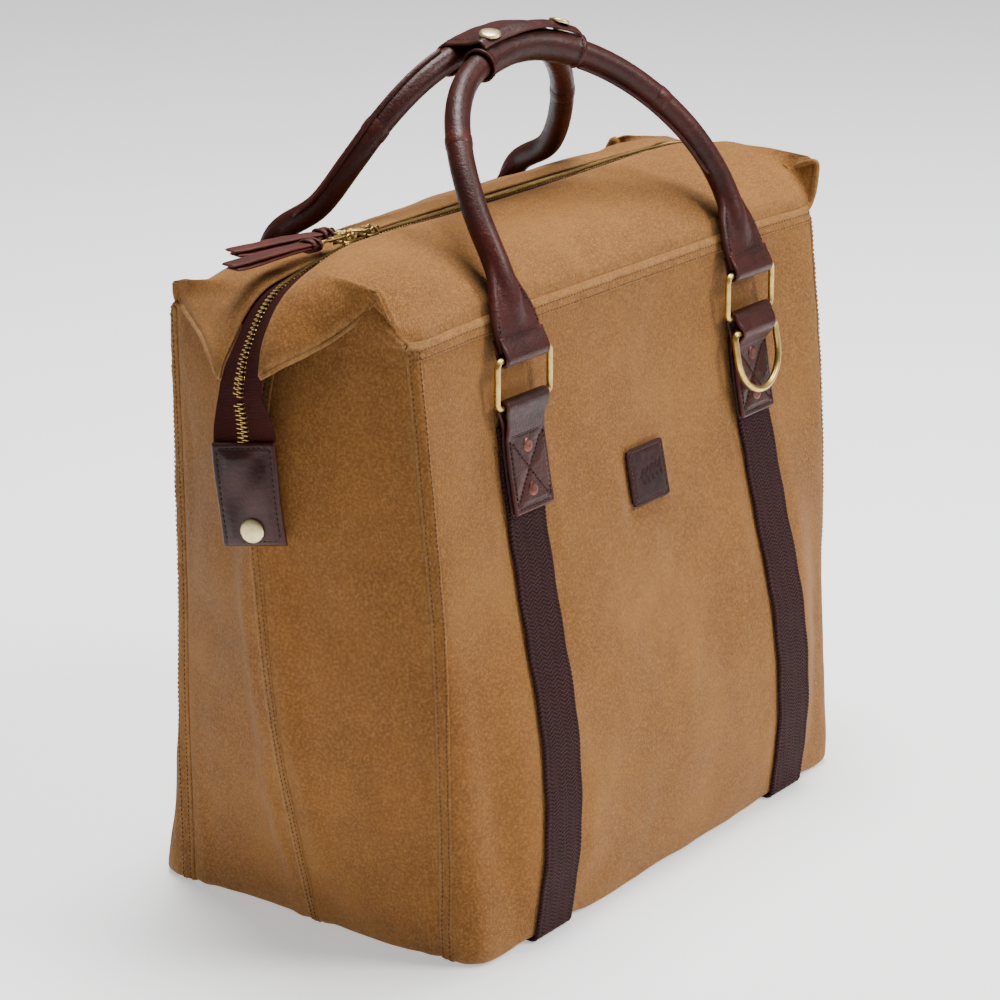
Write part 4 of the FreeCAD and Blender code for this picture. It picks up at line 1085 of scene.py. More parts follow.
def build_zip():
    grid = tape_grid(resample(tape_edge(FRONT_ROWS, -1), 300), resample(tape_edge(BACK_ROWS, 1), 300), 0.07)
    if grid_normals(grid)[len(grid) // 2, CHAIN_COLUMN, 2] < 0:
        grid = grid[:, ::-1]
    normals = grid_normals(grid)
    grid = grid - normals * 2.0 * MM
    # The tape bows up to the chain in its middle.
    bow = 0.7 * MM * bell(np.linspace(-1, 1, TAPE_COLUMNS), 0.35)[None, :, None]
    slack = clouds(grid, 40 * MM, 71.0) * 0.4 * MM
    grid = grid + normals * (bow + slack[..., None])
    tape = sheet_piece("zip_tape_cloth", grid, 0.9 * MM, TAPE, "bag")
    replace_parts(tape, "front_zip_tape", "back_zip_tape")
    teeth = chain_parts(grid[:, CHAIN_COLUMN], normals[:, CHAIN_COLUMN])
    chain = join_parts("zip_chain_teeth", teeth, ZIP_BRASS, "bag")
    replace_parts(chain, "zip_chain")
    for side in ("left", "right"):
        build_tail(side)


def build_tail(side):
    """The end of the zip: its tape, with teeth above and below the hinge, ending in the tab."""
    sign = -1 if side == "left" else 1
    lines = [resample(curve(np.array(edge) * MM, 1 * MM), 52) for edge in TAILS[side]]
    leaving = 1 - smoothstep(0, 18, np.arange(52))[:, None, None]
    grid = tape_grid(*lines, 0.03 + 0.07 * leaving)
    if grid_normals(grid)[20, CHAIN_COLUMN, 0] * sign < 0:
        grid = grid[:, ::-1]
    normals = grid_normals(grid)
    t = np.linspace(-1, 1, TAPE_COLUMNS)[None, :, None]
    grid = grid + normals * (0.7 * MM * bell(t, 0.35) - 0.8 * MM - 1.2 * MM * leaving)
    body = f"{side}_tail"
    tape = sheet_piece(f"{side}_tail_cloth", grid, 0.9 * MM, TAPE, None)
    hinge = Vector((sign * HINGE_X, 0, HINGE_HEIGHT))
    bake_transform(tape)
    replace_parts(tape, f"{side}_tail_tape")
    middle, up = grid[:, CHAIN_COLUMN], normals[:, CHAIN_COLUMN]
    above = middle[:, 2] > hinge.z + TOOTH_GAP
    below = middle[:, 2] < hinge.z - TOOTH_GAP
    join_parts(f"{side}_tail_teeth_upper", chain_parts(middle[above], up[above]), ZIP_BRASS, "bag")
    lower = join_parts(f"{side}_tail_teeth", chain_parts(middle[below], up[below]), ZIP_BRASS, body)
    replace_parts(lower, f"{side}_tail_chain")
    build_tab(side, lines)


def build_tab(side, lines):
    """The leather tab folded over the end of the tape, with a stitched border and a snap."""
    body = f"{side}_tail"
    sign = -1 if side == "left" else 1
    foot_front, foot_back = lines[0][-1], lines[1][-1]
    across = unit((foot_back - foot_front) * np.array([1, 1, 0]))
    outward = unit(np.cross(across, Z_AXIS))
    outward = outward * np.sign(outward[0]) * sign
    middle = (foot_front + foot_back) / 2
    z = np.linspace(TAB_TOP + 4 * MM, TAB_BOTTOM + 5 * MM, 60)
    tall = TAB_TOP - TAB_BOTTOM
    lean = (TAB_TOP + 4 * MM - z) / tall
    curl = 1.5 * MM * np.sin(lean * math.pi) + 0.5 * MM
    aside = across * (TAB_SWING[side] * lean * tall)[:, None]
    path = np.stack([np.full(60, middle[0]), np.full(60, middle[1]), z], -1) + outward * curl[:, None] + aside
    normals = np.broadcast_to(outward, path.shape)
    half = TAB_WIDTH / 2
    inset = 3.2 * MM

    def relief(along, reach):
        room = np.minimum(half - np.abs(reach), np.minimum(along, tall + 2 * MM - along))
        groove = -0.35 * MM * bell(room - inset, 0.7 * MM)
        pad = 0.7 * MM * smoothstep(3 * MM, 9 * MM, room)
        dents = 0.8 * MM * np.sin(along / (10 * MM) + reach / (7 * MM))
        dents = dents + 0.55 * MM * np.sin(along / (5.3 * MM) - reach / (4.1 * MM) + 1.0)
        cap = -0.6 * MM * bell(np.hypot(reach, along - (TAB_TOP + 5 * MM - SNAP_HEIGHT)), 10 * MM)
        return groove + pad + dents * smoothstep(3 * MM, 10 * MM, room) + cap

    width = TAB_WIDTH * (1 + 0.015 * np.sin(np.linspace(0, 7, 60)))
    tab = ribbon(f"{side}_tab_leather", path, normals, width, TAB_THICK, TAB_LEATHER, body, relief, 45)
    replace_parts(tab, f"{side}_end_tab")
    wide = unit(np.cross(tangents(path)[0], outward)) * (half - inset)
    down = unit(path[-1] - path[0])
    top, bottom = path[0] + down * inset, path[-1] - down * inset
    corners = [top - wide, top + wide, bottom + wide, bottom - wide, top - wide]
    stitches = []
    for a, b in zip(corners, corners[1:]):
        line = a + (b - a) * np.linspace(0, 1, 30)[:, None]
        line = line + outward * np.interp(line[:, 2], path[::-1, 2], curl[::-1] - 0.5 * MM)[:, None]
        stitches += stitch_parts(line, outward, 3.4 * MM, 2.5 * MM, 0.38 * MM, TAB_THICK / 2 - 0.1 * MM)
    join_parts(f"{side}_tab_stitches", stitches, LEATHER_THREAD, body)
    on_face = read_at(SNAP_HEIGHT, path[::-1, 2], path[::-1]) + outward * (TAB_THICK / 2 - 0.2 * MM)
    r = SNAP_RADIUS
    profile = [(r - 0.7 * MM, -0.6 * MM), (r, 0.0), (r, 0.5 * MM), (r - 0.35 * MM, 1.0 * MM),
               (r - 1.2 * MM, 1.45 * MM), (r * 0.6, 1.9 * MM), (r * 0.3, 2.1 * MM), (0.01 * MM, 2.15 * MM)]
    cap = lathe(f"{side}_snap_dome", profile, on_face, outward, PALE_BRASS, body, 48)
    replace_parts(cap, f"{side}_snap_cap")
    under = on_face - outward * (TAB_THICK + 0.4 * MM)
    profile = np.array([(3, 0), (3, -1.4), (5, -1.4), (5.5, -0.8), (5.5, 0.3)]) * MM
    socket = lathe(f"{side}_snap_ring", profile, under, outward, PALE_BRASS, body, 32)
    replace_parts(socket, f"{side}_snap_socket")


# ---------------------------------------------------------------- straps, chapes and rings

def on_front(x, z, out=0.0):
    """A point on the front cloth in the middle plane of a strap, moved outwards by a distance."""
    z = np.asarray(z, float)
    x = np.broadcast_to(x, z.shape)
    y = -broad_depth(x, z)
    slope = np.gradient(y, z) if z.ndim and len(z) > 2 else np.zeros_like(z)
    normal = unit(np.stack([np.zeros_like(z), -np.ones_like(z), slope], -1))
    return np.stack([x, y, z], -1) + normal * out, normal


def strap_path(side):
    """A strap's middle line: down the front, round the foot, under the bottom and up the back."""
    z = np.linspace(STRAP_TOP, FOOT_LIFT + FOOT_ROUND, 260)
    front, _ = on_front(side * strap_x(z), z, STRAP_THICK / 2 + 0.25 * MM)
    turn = np.linspace(0, math.pi / 2, 16)[1:]
    foot = front[-1]
    radius = foot[2] - STRAP_THICK / 2
    round_foot = foot + np.stack([np.zeros(15), radius * (1 - np.cos(turn)), -radius * np.sin(turn)], -1)
    across = np.linspace(round_foot[-1, 1], -round_foot[-1, 1], 160)[1:-1]
    under = np.stack([np.full(len(across), foot[0]), across, np.full(len(across), STRAP_THICK / 2)], -1)
    back = (np.concatenate([front, round_foot]) * np.array([1, -1, 1]))[::-1]
    return even(np.concatenate([front, round_foot, under, back]), STRAP_STEP)


def webbing_relief(along, reach):
    """Ribs across the strap in a herringbone, a raised selvedge and a groove beside it."""
    hand = np.sign(np.sin(reach / (3.2 * MM) * math.pi))
    rib = 0.24 * MM * np.cos(along / (2.48 * MM) * 2 * math.pi + hand * 1.3)
    selvedge = 0.16 * MM * bell(np.abs(reach) - 17.4 * MM, 1.0 * MM)
    seam = -0.26 * MM * bell(np.abs(reach) - 14.8 * MM, 0.55 * MM)
    return rib * smoothstep(0, 1.5 * MM, STRAP_WIDTH / 2 - np.abs(reach)) + selvedge + seam


def build_straps():
    for name, side in (("left_strap", -1), ("right_strap", 1)):
        path = strap_path(side)
        normals = unit(np.cross(tangents(path), X_AXIS))
        wave = 0.25 * MM * np.sin(np.arange(len(path)) * STRAP_STEP / (37 * MM) * 2 * math.pi + side)
        wave = (wave * smoothstep(12 * MM, 40 * MM, path[:, 2]))[:, None]
        path = path + normals * wave * 0.6 + X_AXIS * wave
        strap = ribbon(f"{name}_webbing", path, normals, STRAP_WIDTH, STRAP_THICK, WEBBING, "bag",
                       webbing_relief, 33)
        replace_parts(strap, name)


def chape_width(height):
    """The leather's width at a height: a tab, a narrower waist and a wide loop round the bar."""
    table = np.array([(268, 36), (269.5, 39), (272, 40.5), (300, 40.5), (316, 39.5), (323, 37.5), (328, 39.5),
                      (332, 43.5), (345, 44.5)]) * MM
    return np.interp(height, table[:, 0], table[:, 1])


def chape_relief(along, reach):
    """The border groove, the stitched cross with its swollen quarters, and the dents round the rivets."""
    half = 20.2 * MM
    height = CHAPE_BOTTOM + along
    on_tab = 1 - smoothstep(312 * MM, 318 * MM, height)
    room = np.minimum(half - np.abs(reach), along)
    groove = -0.32 * MM * bell(room - 3.0 * MM, 0.6 * MM) * on_tab
    groove = groove - 0.32 * MM * bell(height - 316 * MM, 0.6 * MM)
    across = reach / (half - 3 * MM)
    up = (height - 294.5 * MM) / (21 * MM)
    inside = (np.abs(up) < 1) * 1.0
    relief = 0.5 * MM * smoothstep(0.1, 0.5, np.abs(np.abs(across) - np.abs(up))) * inside * (np.abs(across) < 1)
    for hand in (-1, 1):
        relief = relief - 0.55 * MM * bell(across - hand * up, 0.11) * inside
    for rivet in RIVET_HEIGHTS:
        relief = relief - 0.5 * MM * bell(np.hypot(reach, height - rivet), 6 * MM)
    return groove + relief * on_tab


def build_chapes():
    """The leather that holds each ring: up the strap, round the bar and down behind, riveted through."""
    rivets = []
    for label, side, front, dee in (("front_left", -1, 1, False), ("front_right", 1, 1, True),
                                    ("back_left", -1, -1, True), ("back_right", 1, -1, False)):
        x = side * RING_X
        flip = np.array([1, front, 1])
        back_layer, face = on_front(x, np.linspace(CHAPE_BOTTOM, 322 * MM, 60), CHAPE_GAP + CHAPE_THICK / 2)
        front_layer = back_layer + face * CHAPE_THICK
        bar_y, bar_z = -RING_BAR[0], RING_BAR[1]
        radius = 3.6 * MM
        if dee:
            swell = np.array([(x, -DEE_BAR[0] - 4.0 * MM, DEE_BAR[1] - 1 * MM),
                              (x, -DEE_BAR[0] - 3.6 * MM, DEE_BAR[1] + 2.6 * MM)])
        else:
            swell = np.array([(x, bar_y - 1.6 * MM, bar_z - 8.5 * MM)])
        turn = np.radians(np.linspace(200, 20, 19))
        loop = np.stack([np.full(19, x), bar_y + radius * np.cos(turn), bar_z + radius * np.sin(turn)], -1)
        behind, _ = on_front(x, np.linspace(bar_z - 3 * MM, 312 * MM, 12)[::-1], CHAPE_GAP + CHAPE_THICK / 2)
        knots = np.concatenate([front_layer[:-8], swell, loop, behind[::-1][2:]])
        path = softened(even(knots, 0.9 * MM), 6) * flip
        normals = unit(np.cross(tangents(path), X_AXIS)) * front
        if normals[4, 1] * front > 0:
            normals = -normals
        peak = run_length(path)[int(np.argmax(path[:, 2]))]

        def relief(along, reach, last=peak):
            return np.where(along < last, chape_relief(along, reach), 0.0)

        piece = ribbon(f"{label}_chape_leather", path, normals, chape_width(path[:, 2]), CHAPE_THICK, LEATHER,
                       "bag", relief, 45)
        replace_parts(piece, f"{label}_chape")
        inner = even(back_layer[::-1][4:], 1 * MM) * flip
        ribbon(f"{label}_chape_back_layer", inner, np.broadcast_to(face[0] * flip, inner.shape),
               chape_width(inner[:, 2]) + 0.6 * MM, CHAPE_THICK, RAW_LEATHER, "bag")
        rivets += build_chape_stitches(label, x, flip)
    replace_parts(rivets[0], "chape_rivets")


def build_chape_stitches(label, x, flip):
    """A border, a cross and two rivets on a chape. flip turns them to the back where they belong there."""
    lift = CHAPE_GAP + CHAPE_THICK * 2 + 0.1 * MM
    inset = 17.0 * MM
    stitches = []
    for hand in (-1, 1):
        line, face = on_front(x, np.linspace(CHAPE_BOTTOM + 4 * MM, 315 * MM, 40), lift)
        stitches += stitch_parts((line + X_AXIS * hand * inset) * flip, face * flip, *CHAPE_STITCH)
    around = np.linspace(-2, 2, 5) * MM
    for z in (CHAPE_BOTTOM + 3.2 * MM, 316 * MM):
        point, face = on_front(x, z + around, lift)
        line = point[2] + X_AXIS * np.linspace(-inset, inset, 30)[:, None]
        stitches += stitch_parts(line * flip, face[2] * flip, *CHAPE_STITCH)
    slope = np.linspace(-inset + 1.5 * MM, inset - 1.5 * MM, 40)[:, None]
    for hand in (-1, 1):
        line, face = on_front(x, np.linspace(CHAPE_BOTTOM + 6 * MM, 313.5 * MM, 40), lift - 0.25 * MM)
        line = line + X_AXIS * (hand * slope)
        stitches += stitch_parts(line * flip, face * flip, 2.9 * MM, 2.0 * MM, 0.3 * MM)
    join_parts(f"{label}_chape_stitches", stitches, LEATHER_THREAD, "bag")
    r = 4.7 * MM
    profile = [(r - 0.9 * MM, -1.2 * MM), (r - 0.2 * MM, -0.4 * MM), (r, 0.1 * MM), (r - 0.15 * MM, 0.55 * MM),
               (r - 0.8 * MM, 0.95 * MM), (r * 0.55, 1.25 * MM), (r * 0.28, 1.15 * MM), (0.01 * MM, 1.1 * MM)]
    rivets = []
    for number, z in enumerate(RIVET_HEIGHTS, start=1):
        point, face = on_front(x, z + around, lift - 0.3 * MM)
        rivets.append(lathe(f"{label}_rivet_{number}", profile, point[2] * flip, face[2] * flip, COPPER, "bag"))
    return rivets


def wire_ring(name, points, normal, wire, body):
    """Round brass wire closed along points that lie flat, square to normal."""
    sections = np.broadcast_to(circle(wire / 2, 18)[None], (len(points), 18, 2)).copy()
    return sweep(name, points, sections, np.broadcast_to(normal, points.shape), BRASS, body, closed=True)


def wire_loop(name, corners, radius, wire, body):
    """A closed ring of round wire through the given corners, bent to a radius at each."""
    corners = [np.asarray(c, float) for c in corners]
    points = []
    count = len(corners)
    for i, corner in enumerate(corners):
        before, after = unit(corners[i - 1] - corner), unit(corners[(i + 1) % count] - corner)
        half = math.acos(np.clip(before @ after, -1, 1)) / 2
        reach = radius / math.tan(half)
        centre = corner + unit(before + after) * radius / math.sin(half)
        start, end = corner + before * reach, corner + after * reach
        for t in np.linspace(0, 1, 12):
            points.append(centre + unit((start - centre) * (1 - t) + (end - centre) * t) * radius)
    points = even(np.array(points + points[:1]), 1.1 * MM)[:-1]
    return wire_ring(name, points, unit(np.cross(corners[1] - corners[0], corners[2] - corners[1])), wire, body)


def build_rings():
    depth, bar = RING_BAR
    half, top = RING_WIDTH / 2, bar + RING_HEIGHT
    for label, side, front in (("front_left", -1, -1), ("front_right", 1, -1), ("back_left", -1, 1),
                               ("back_right", 1, 1)):
        x, y = side * RING_X, front * depth
        corners = [(x - half, y, bar), (x + half, y, bar), (x + half, y, top), (x - half, y, top)]
        body = "front_rings" if front < 0 else "back_rings"
        piece = wire_loop(f"{label}_ring_wire", corners, RING_CORNER, RING_WIRE, body)
        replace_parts(piece, f"{label}_ring")
    half, r = DEE_WIDTH / 2, RING_CORNER
    for label, side, front in (("front", 1, -1), ("back", -1, 1)):
        outward = np.array([0, front * math.sin(DEE_LEAN), -math.cos(DEE_LEAN)])
        base = np.array([side * RING_X, front * DEE_BAR[0], DEE_BAR[1]])

        def outline(x, out):
            return base + X_AXIS * x[:, None] + outward * out[:, None]

        a, b = np.linspace(0, math.pi, 25), np.linspace(0, math.pi / 2, 8)
        arc = outline(half * np.cos(a), DEE_SIDE + half * np.sin(a))
        left = outline(-half + r - r * np.sin(b), r - r * np.cos(b))[::-1]
        right = outline(half - r + r * np.sin(b), r - r * np.cos(b))
        points = even(np.concatenate([arc, left, right, arc[:1]]), 1.1 * MM)[:-1]
        piece = wire_ring(f"{label}_dee_wire", points, unit(np.cross(X_AXIS, outward)), DEE_WIRE, f"{label}_dee_ring")
        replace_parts(piece, f"{label}_dee_ring")


# ---------------------------------------------------------------- handles

# A handle is flat up to the first distance from its end, and round from the second on.
FLAT_RUN, NECK_RUN = 12 * MM, 60 * MM
SEAM_RUN = 62 * MM
HANDLE_STEP = 1.5 * MM
WRAP_HALF, FLAP_HALF = 44 * MM, 43 * MM


def handle_line(points, front):
    """A handle's centre line from one ring's upper bar to the other's, and a direction out of the bag along it."""
    bar_z = RING_BAR[1] + RING_HEIGHT
    ends = []
    for end, side in ((points[0], -1), (points[-1], 1)):
        bar = np.array([side * RING_X, front * RING_BAR[0], bar_z])
        rise = unit(end - bar)
        ends.append([bar + rise * 4 * MM, bar + rise * 18 * MM, bar + rise * 32 * MM])
    line = curve(np.concatenate([ends[0], points, ends[1][::-1]]), HANDLE_STEP)
    line = even(softened(line, 12), HANDLE_STEP)
    ways = tangents(line)
    out = np.array([0, front, 0.0]) - ways * (ways @ np.array([0, front, 0.0]))[:, None]
    return line, unit(out)


def handle_sections(line):
    """The handle's outline at each point of its line, from a flat blade to a round grip, with each point's
    distance from the nearer end."""
    along = run_length(line)
    from_end = np.minimum(along, along[-1] - along)
    slim = smoothstep(FLAT_RUN, NECK_RUN, from_end)[:, None]
    lean = np.sin(np.linspace(-math.pi / 2, math.pi / 2, 19))[None, :]
    full = smoothstep(2 * MM, 34 * MM, from_end)[:, None]
    tube = GRIP_RADIUS * full + 2.6 * MM * (1 - full)
    core = 11 * MM * (1 - slim) + GRIP_RADIUS * slim
    across = (END_WIDTH / 2 * (1 - slim) + GRIP_RADIUS * slim) * lean
    tube_height = tube * np.sqrt(np.clip(1 - (across / core) ** 2, 0, 1))
    wing = END_THICK / 2 * np.sqrt(np.clip(1 - np.abs(lean) ** 7, 0, 1))
    # A soft maximum, so that the round grip flows into the flat end.
    height = np.maximum(tube_height, wing) + 0.27 * MM * bell(tube_height - wing, 1.2 * MM) * (1 - slim)
    gather = 0.5 * MM * np.sin(across / (2.9 * MM) + 0.6) * bell(from_end[:, None] - 30 * MM, 14 * MM)
    outer = height + gather * (height > 0.5 * MM)
    sections = np.concatenate([
        np.stack([across, outer], -1), np.stack([across, -height], -1)[:, ::-1][:, 1:-1],
    ], 1)
    return sections[:, ::-1], from_end


def build_handle(name, points, front):
    body = f"{name}_handle"
    line, out = handle_line(points, front)
    sections, from_end = handle_sections(line)
    wear = 0.2 * np.abs(np.sin(np.linspace(0, math.pi, sections.shape[1]))) * np.ones((len(line), 1))
    wear = wear + 0.4 * bell(from_end - 30 * MM, 20 * MM)[:, None]
    grip = sweep(f"{name}_handle_leather", line, sections, out, LEATHER, body, wear=wear)
    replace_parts(grip, f"{name}_handle_grip", f"{name}_handle_left_end", f"{name}_handle_right_end")
    side = unit(np.cross(tangents(line), out))
    for piece, sign in (("left", -1), ("right", 1)):
        kept = (from_end > SEAM_RUN) & (sign * line[:, 0] > WRAP_HALF + 1 * MM)
        spine, face, across = line[kept], out[kept], side[kept]
        ends = smoothstep(0, 14 * MM, from_end[kept] - SEAM_RUN)
        spine = spine + across * (GRIP_RADIUS * 0.55 + 3.6 * MM * ends)[:, None]
        ribbon(f"{name}_{piece}_seam_edge", spine, face, 5.2 * MM, 3.0 * MM, LEATHER, body, across=9)
        stitches = []
        for hand in (-1, 1):
            stitches += stitch_parts(spine + across * 0.6 * MM, face * hand, *WIDE_STITCH, 1.45 * MM)
        join_parts(f"{name}_{piece}_seam_stitches", stitches, LEATHER_THREAD, body)
        build_handle_end(name, piece, line[::-sign], front)
        # A narrow band of leather round the grip, half way along its side.
        k = int(len(spine) * (0.5 if name == "front" else 0.55))
        k = k if sign < 0 else len(spine) - k
        index = int(np.argmin(np.linalg.norm(line - (spine[k] - across[k] * GRIP_RADIUS), axis=1)))
        band = line[index - 3:index + 4]
        swell = np.array([0.1, 0.42, 0.5, 0.5, 0.5, 0.42, 0.1]) * MM
        rings = circle(1.0, 36)[None] * (GRIP_RADIUS + swell)[:, None, None]
        sweep(f"{name}_{piece}_grip_band", band, rings, out[index - 3:index + 4], LEATHER, body,
              wear=np.full(rings.shape[:2], 0.9), caps=False)


def build_handle_end(name, piece, line, front):
    """The loop of leather round the ring's upper bar, with the stitches above it and up both edges."""
    body = f"{name}_handle"
    side = -1 if piece == "left" else 1
    bar = np.array([side * RING_X, front * RING_BAR[0], RING_BAR[1] + RING_HEIGHT])
    rise = unit(line[6] - bar)
    face = unit(np.array([0, front, 0.0]) - rise * (rise @ np.array([0, front, 0.0])))
    radius = 3.5 * MM
    turn = np.radians(np.linspace(0, 180, 19))
    loop = bar + face * (radius * np.cos(turn))[:, None] - rise * (radius * np.sin(turn))[:, None]
    up = np.linspace(13 * MM, 1 * MM, 9)[:, None]
    squeeze = face * (2.7 * MM + (radius - 2.7 * MM) * (1 - smoothstep(0, 10 * MM, up)))
    path = even(np.concatenate([bar + rise * up + squeeze, loop, (bar + rise * up - squeeze)[::-1]]), 0.8 * MM)
    normals = unit(np.cross(tangents(path), X_AXIS))
    if normals[2] @ face < 0:
        normals = -normals
    run = np.arange(len(path)) * 0.8 * MM
    thick = 0.9 * MM + 1.6 * MM * smoothstep(0, 9 * MM, np.minimum(run, run[::-1]))
    width = END_WIDTH + 0.4 * MM
    ribbon(f"{name}_{piece}_bar_loop", path, normals, width, thick, LEATHER, body, across=27)
    distance = np.linspace(13.5 * MM, 50 * MM, 40)
    slim = smoothstep(FLAT_RUN, NECK_RUN, distance)
    reach = END_WIDTH / 2 * (1 - slim) + GRIP_RADIUS * slim - 2.6 * MM
    middle = read_at((distance - 4 * MM) / HANDLE_STEP, np.arange(len(line)), line)
    lift = np.where(distance < 44 * MM, END_THICK / 2 - 0.35 * MM, END_THICK / 2 - 0.1 * MM)
    shown = distance < 47 * MM
    stitches = []
    for hand in (-1, 1):
        above_bar = bar + rise * 12.3 * MM + face * hand * (END_THICK / 2 + 0.9 * MM)
        row = above_bar + X_AXIS * np.linspace(-18.5, 18.5, 30)[:, None] * MM
        stitches += stitch_parts(row, face * hand, *CLOSE_STITCH)
        for edge in (-1, 1):
            row = middle + X_AXIS * edge * reach[:, None] + face * hand * lift[:, None]
            stitches += stitch_parts(row[shown], face * hand, 3.0 * MM, 2.2 * MM, 0.34 * MM)
    join_parts(f"{name}_{piece}_end_stitches", stitches, LEATHER_THREAD, body)


def grip_at(points, x):
    """The (y, z) of a handle's centre line at a distance from the middle."""
    return through(points[:, 0], points[:, 1:], x)


def build_wrap_sleeve():
    """The part of the wrap that is sewn round the front grip."""
    line, out = handle_line(FRONT_GRIP, -1)
    along = np.abs(line[:, 0]) < WRAP_HALF
    spine, face = line[along], out[along]
    edge = np.minimum(np.arange(len(spine)), np.arange(len(spine))[::-1]) * HANDLE_STEP
    radius = 10.2 * MM + 1.0 * MM * bell(edge, 3 * MM) - 0.25 * MM * bell(edge - 5 * MM, 1.2 * MM)
    rim = circle(1.0, 48)
    lumps = clouds(spine[:, None] + face[:, None] * rim[None, :, :1] * 0.01, 16 * MM, 80.0) * 0.3 * MM
    sections = rim[None] * (radius[:, None] + lumps)[..., None]
    sleeve = sweep("wrap_sleeve_leather", spine, sections, face, LEATHER, "front_handle",
                   wear=np.broadcast_to((0.9 * bell(edge, 2.5 * MM))[:, None], sections.shape[:2]), caps=False)
    thicken(sleeve, 1.7 * MM)
    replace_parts(sleeve, "wrap_sleeve")
    stitches = []
    side = unit(np.cross(tangents(spine), face))
    for k in (2, len(spine) - 3):
        turn = np.linspace(0, 2 * math.pi, 90)
        hoop = spine[k] + (side[k] * np.cos(turn)[:, None] + face[k] * np.sin(turn)[:, None]) * (radius[k] + 0.1 * MM)
        stitches += stitch_parts(hoop, unit(hoop - spine[k]), *CLOSE_STITCH)
    join_parts("wrap_sleeve_stitches", stitches, LEATHER_THREAD, "front_handle")


def build_wrap_flap():
    """The flap: round the back grip, over the front one, and snapped down. Each column is one turn of it."""
    columns = []
    xs = np.linspace(-FLAP_HALF, FLAP_HALF, 44)
    turn = np.radians(np.linspace(-118, 92, 12))
    bore = 10.8 * MM
    for x in xs:
        fy, fz = grip_at(FRONT_GRIP, x)
        by, bz = grip_at(BACK_GRIP, x)
        around = np.stack([by + bore * np.cos(turn), bz + bore * np.sin(turn)], -1)
        ripple = math.sin(x / (9 * MM)) * 0.5 * MM + math.sin(x / (21 * MM) + 1) * 0.9 * MM
        lip = 7.5 * MM + 1.6 * MM * math.cos(x / (13.5 * MM))
        over = np.array([
            (fy + 6 * MM, max(fz + 14.2 * MM, bz + 11.2 * MM) - 0.4 * MM),
            (fy - 0.5 * MM, fz + 15.4 * MM + ripple * 0.3), (fy - lip, fz + 11.6 * MM + ripple * 0.8),
        ])
        columns.append(resample(curve(np.concatenate([around, over]), 0.6 * MM), 60))
    grid = np.concatenate([np.broadcast_to(xs[:, None, None], (44, 60, 1)), np.array(columns)], -1)
    if grid_normals(grid)[22, 50, 2] < 0:
        grid = grid[::-1]
    grid = grid + grid_normals(grid) * (clouds(grid, 14 * MM, 90.0) * 0.5 * MM)[..., None]
    room_x = FLAP_HALF - np.abs(grid[..., 0])
    room_end = np.broadcast_to(np.linspace(1, 0, 60)[None, :] * 70 * MM, room_x.shape)
    wear = bell(np.minimum(room_x, room_end), 2.5 * MM)
    flap = sheet_piece("wrap_flap_leather", grid, 2.1 * MM, LEATHER, "wrap_flap", wear)
    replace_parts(flap, "wrap_flap")
    normals = grid_normals(grid)
    stitches = []
    for row in (3, len(grid) - 4):
        stitches += stitch_parts(grid[row, 8:-4], normals[row, 8:-4], 3.1 * MM, 2.2 * MM, 0.34 * MM, 0.05 * MM)
    join_parts("wrap_flap_stitches", stitches, LEATHER_THREAD, "wrap_flap")
    caps = []
    r = SNAP_RADIUS - 0.6 * MM
    profile = [(r - 0.6 * MM, -1.2 * MM), (r, -0.3 * MM), (r, 0.35 * MM), (r - 0.4 * MM, 0.9 * MM),
               (r * 0.7, 1.45 * MM), (r * 0.35, 1.75 * MM), (0.01 * MM, 1.8 * MM)]
    for side, x in (("left", -30 * MM), ("right", 30 * MM)):
        fy, fz = grip_at(FRONT_GRIP, x)
        distance = np.linalg.norm(grid - np.array([x, fy - 0.5 * MM, fz + 14.5 * MM]), axis=-1)
        spot = np.unravel_index(np.argmin(distance), distance.shape)
        caps.append(lathe(f"wrap_snap_dome_{side}", profile, grid[spot] + normals[spot] * 0.5 * MM, normals[spot],
                          PALE_BRASS, "wrap_flap", 44))
    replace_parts(caps[0], "wrap_snap_caps")


# ---------------------------------------------------------------- sliders, pulls and laces

PIN_HEIGHT = 430.3 * MM
PULL_NECK, PULL_LENGTH, LACE_LENGTH = 4.5 * MM, 20 * MM, 76 * MM


def box_part(low, high, bevel=0.4 * MM):
    """A box with chamfered edges, as one part for join_parts."""
    low, high = np.asarray(low, float), np.asarray(high, float)
    xs, ys = [low[0], high[0]], [low[1], high[1]]
    verts, rings = [], []
    for z, inset in ((low[2], bevel), (low[2] + bevel, 0), (high[2] - bevel, 0), (high[2], bevel)):
        ring = []
        for cx, cy in ((0, 0), (1, 0), (1, 1), (0, 1)):
            x, y = xs[cx], ys[cy]
            dx, dy = 1 - 2 * cx, 1 - 2 * cy
            first = (x + dx * (inset + bevel), y + dy * inset)
            second = (x + dx * inset, y + dy * (inset + bevel))
            ring += [second, first] if (cx + cy) % 2 == 0 else [first, second]
        rings.append([(x, y, z) for x, y in ring])
    verts = np.array([p for ring in rings for p in ring])
    faces = quads(4, 8, wrap_cols=True)[:, ::-1].tolist() + [list(range(8))[::-1], list(range(24, 32))]
    return verts, faces


def tube_part(points, radius, sides=10):
    """A round rod along points, as one part for join_parts. The radius may change along it."""
    points = np.asarray(points, float)
    radius = np.broadcast_to(np.asarray(radius, float), len(points))
    ways = tangents(points)
    helper = np.where(np.abs(ways[:, 2:3]) < 0.9, Z_AXIS[None], X_AXIS[None])
    side = unit(np.cross(ways, helper))
    other = np.cross(side, ways)
    rim = circle(1.0, sides)
    around = side[:, None] * rim[None, :, :1] + other[:, None] * rim[None, :, 1:]
    loop = points[:, None] + around * radius[:, None, None]
    faces = quads(len(points), sides, wrap_cols=True).tolist()
    last = (len(points) - 1) * sides
    faces += [list(range(sides))[::-1], list(range(last, last + sides))]
    return loop.reshape(-1, 3), faces


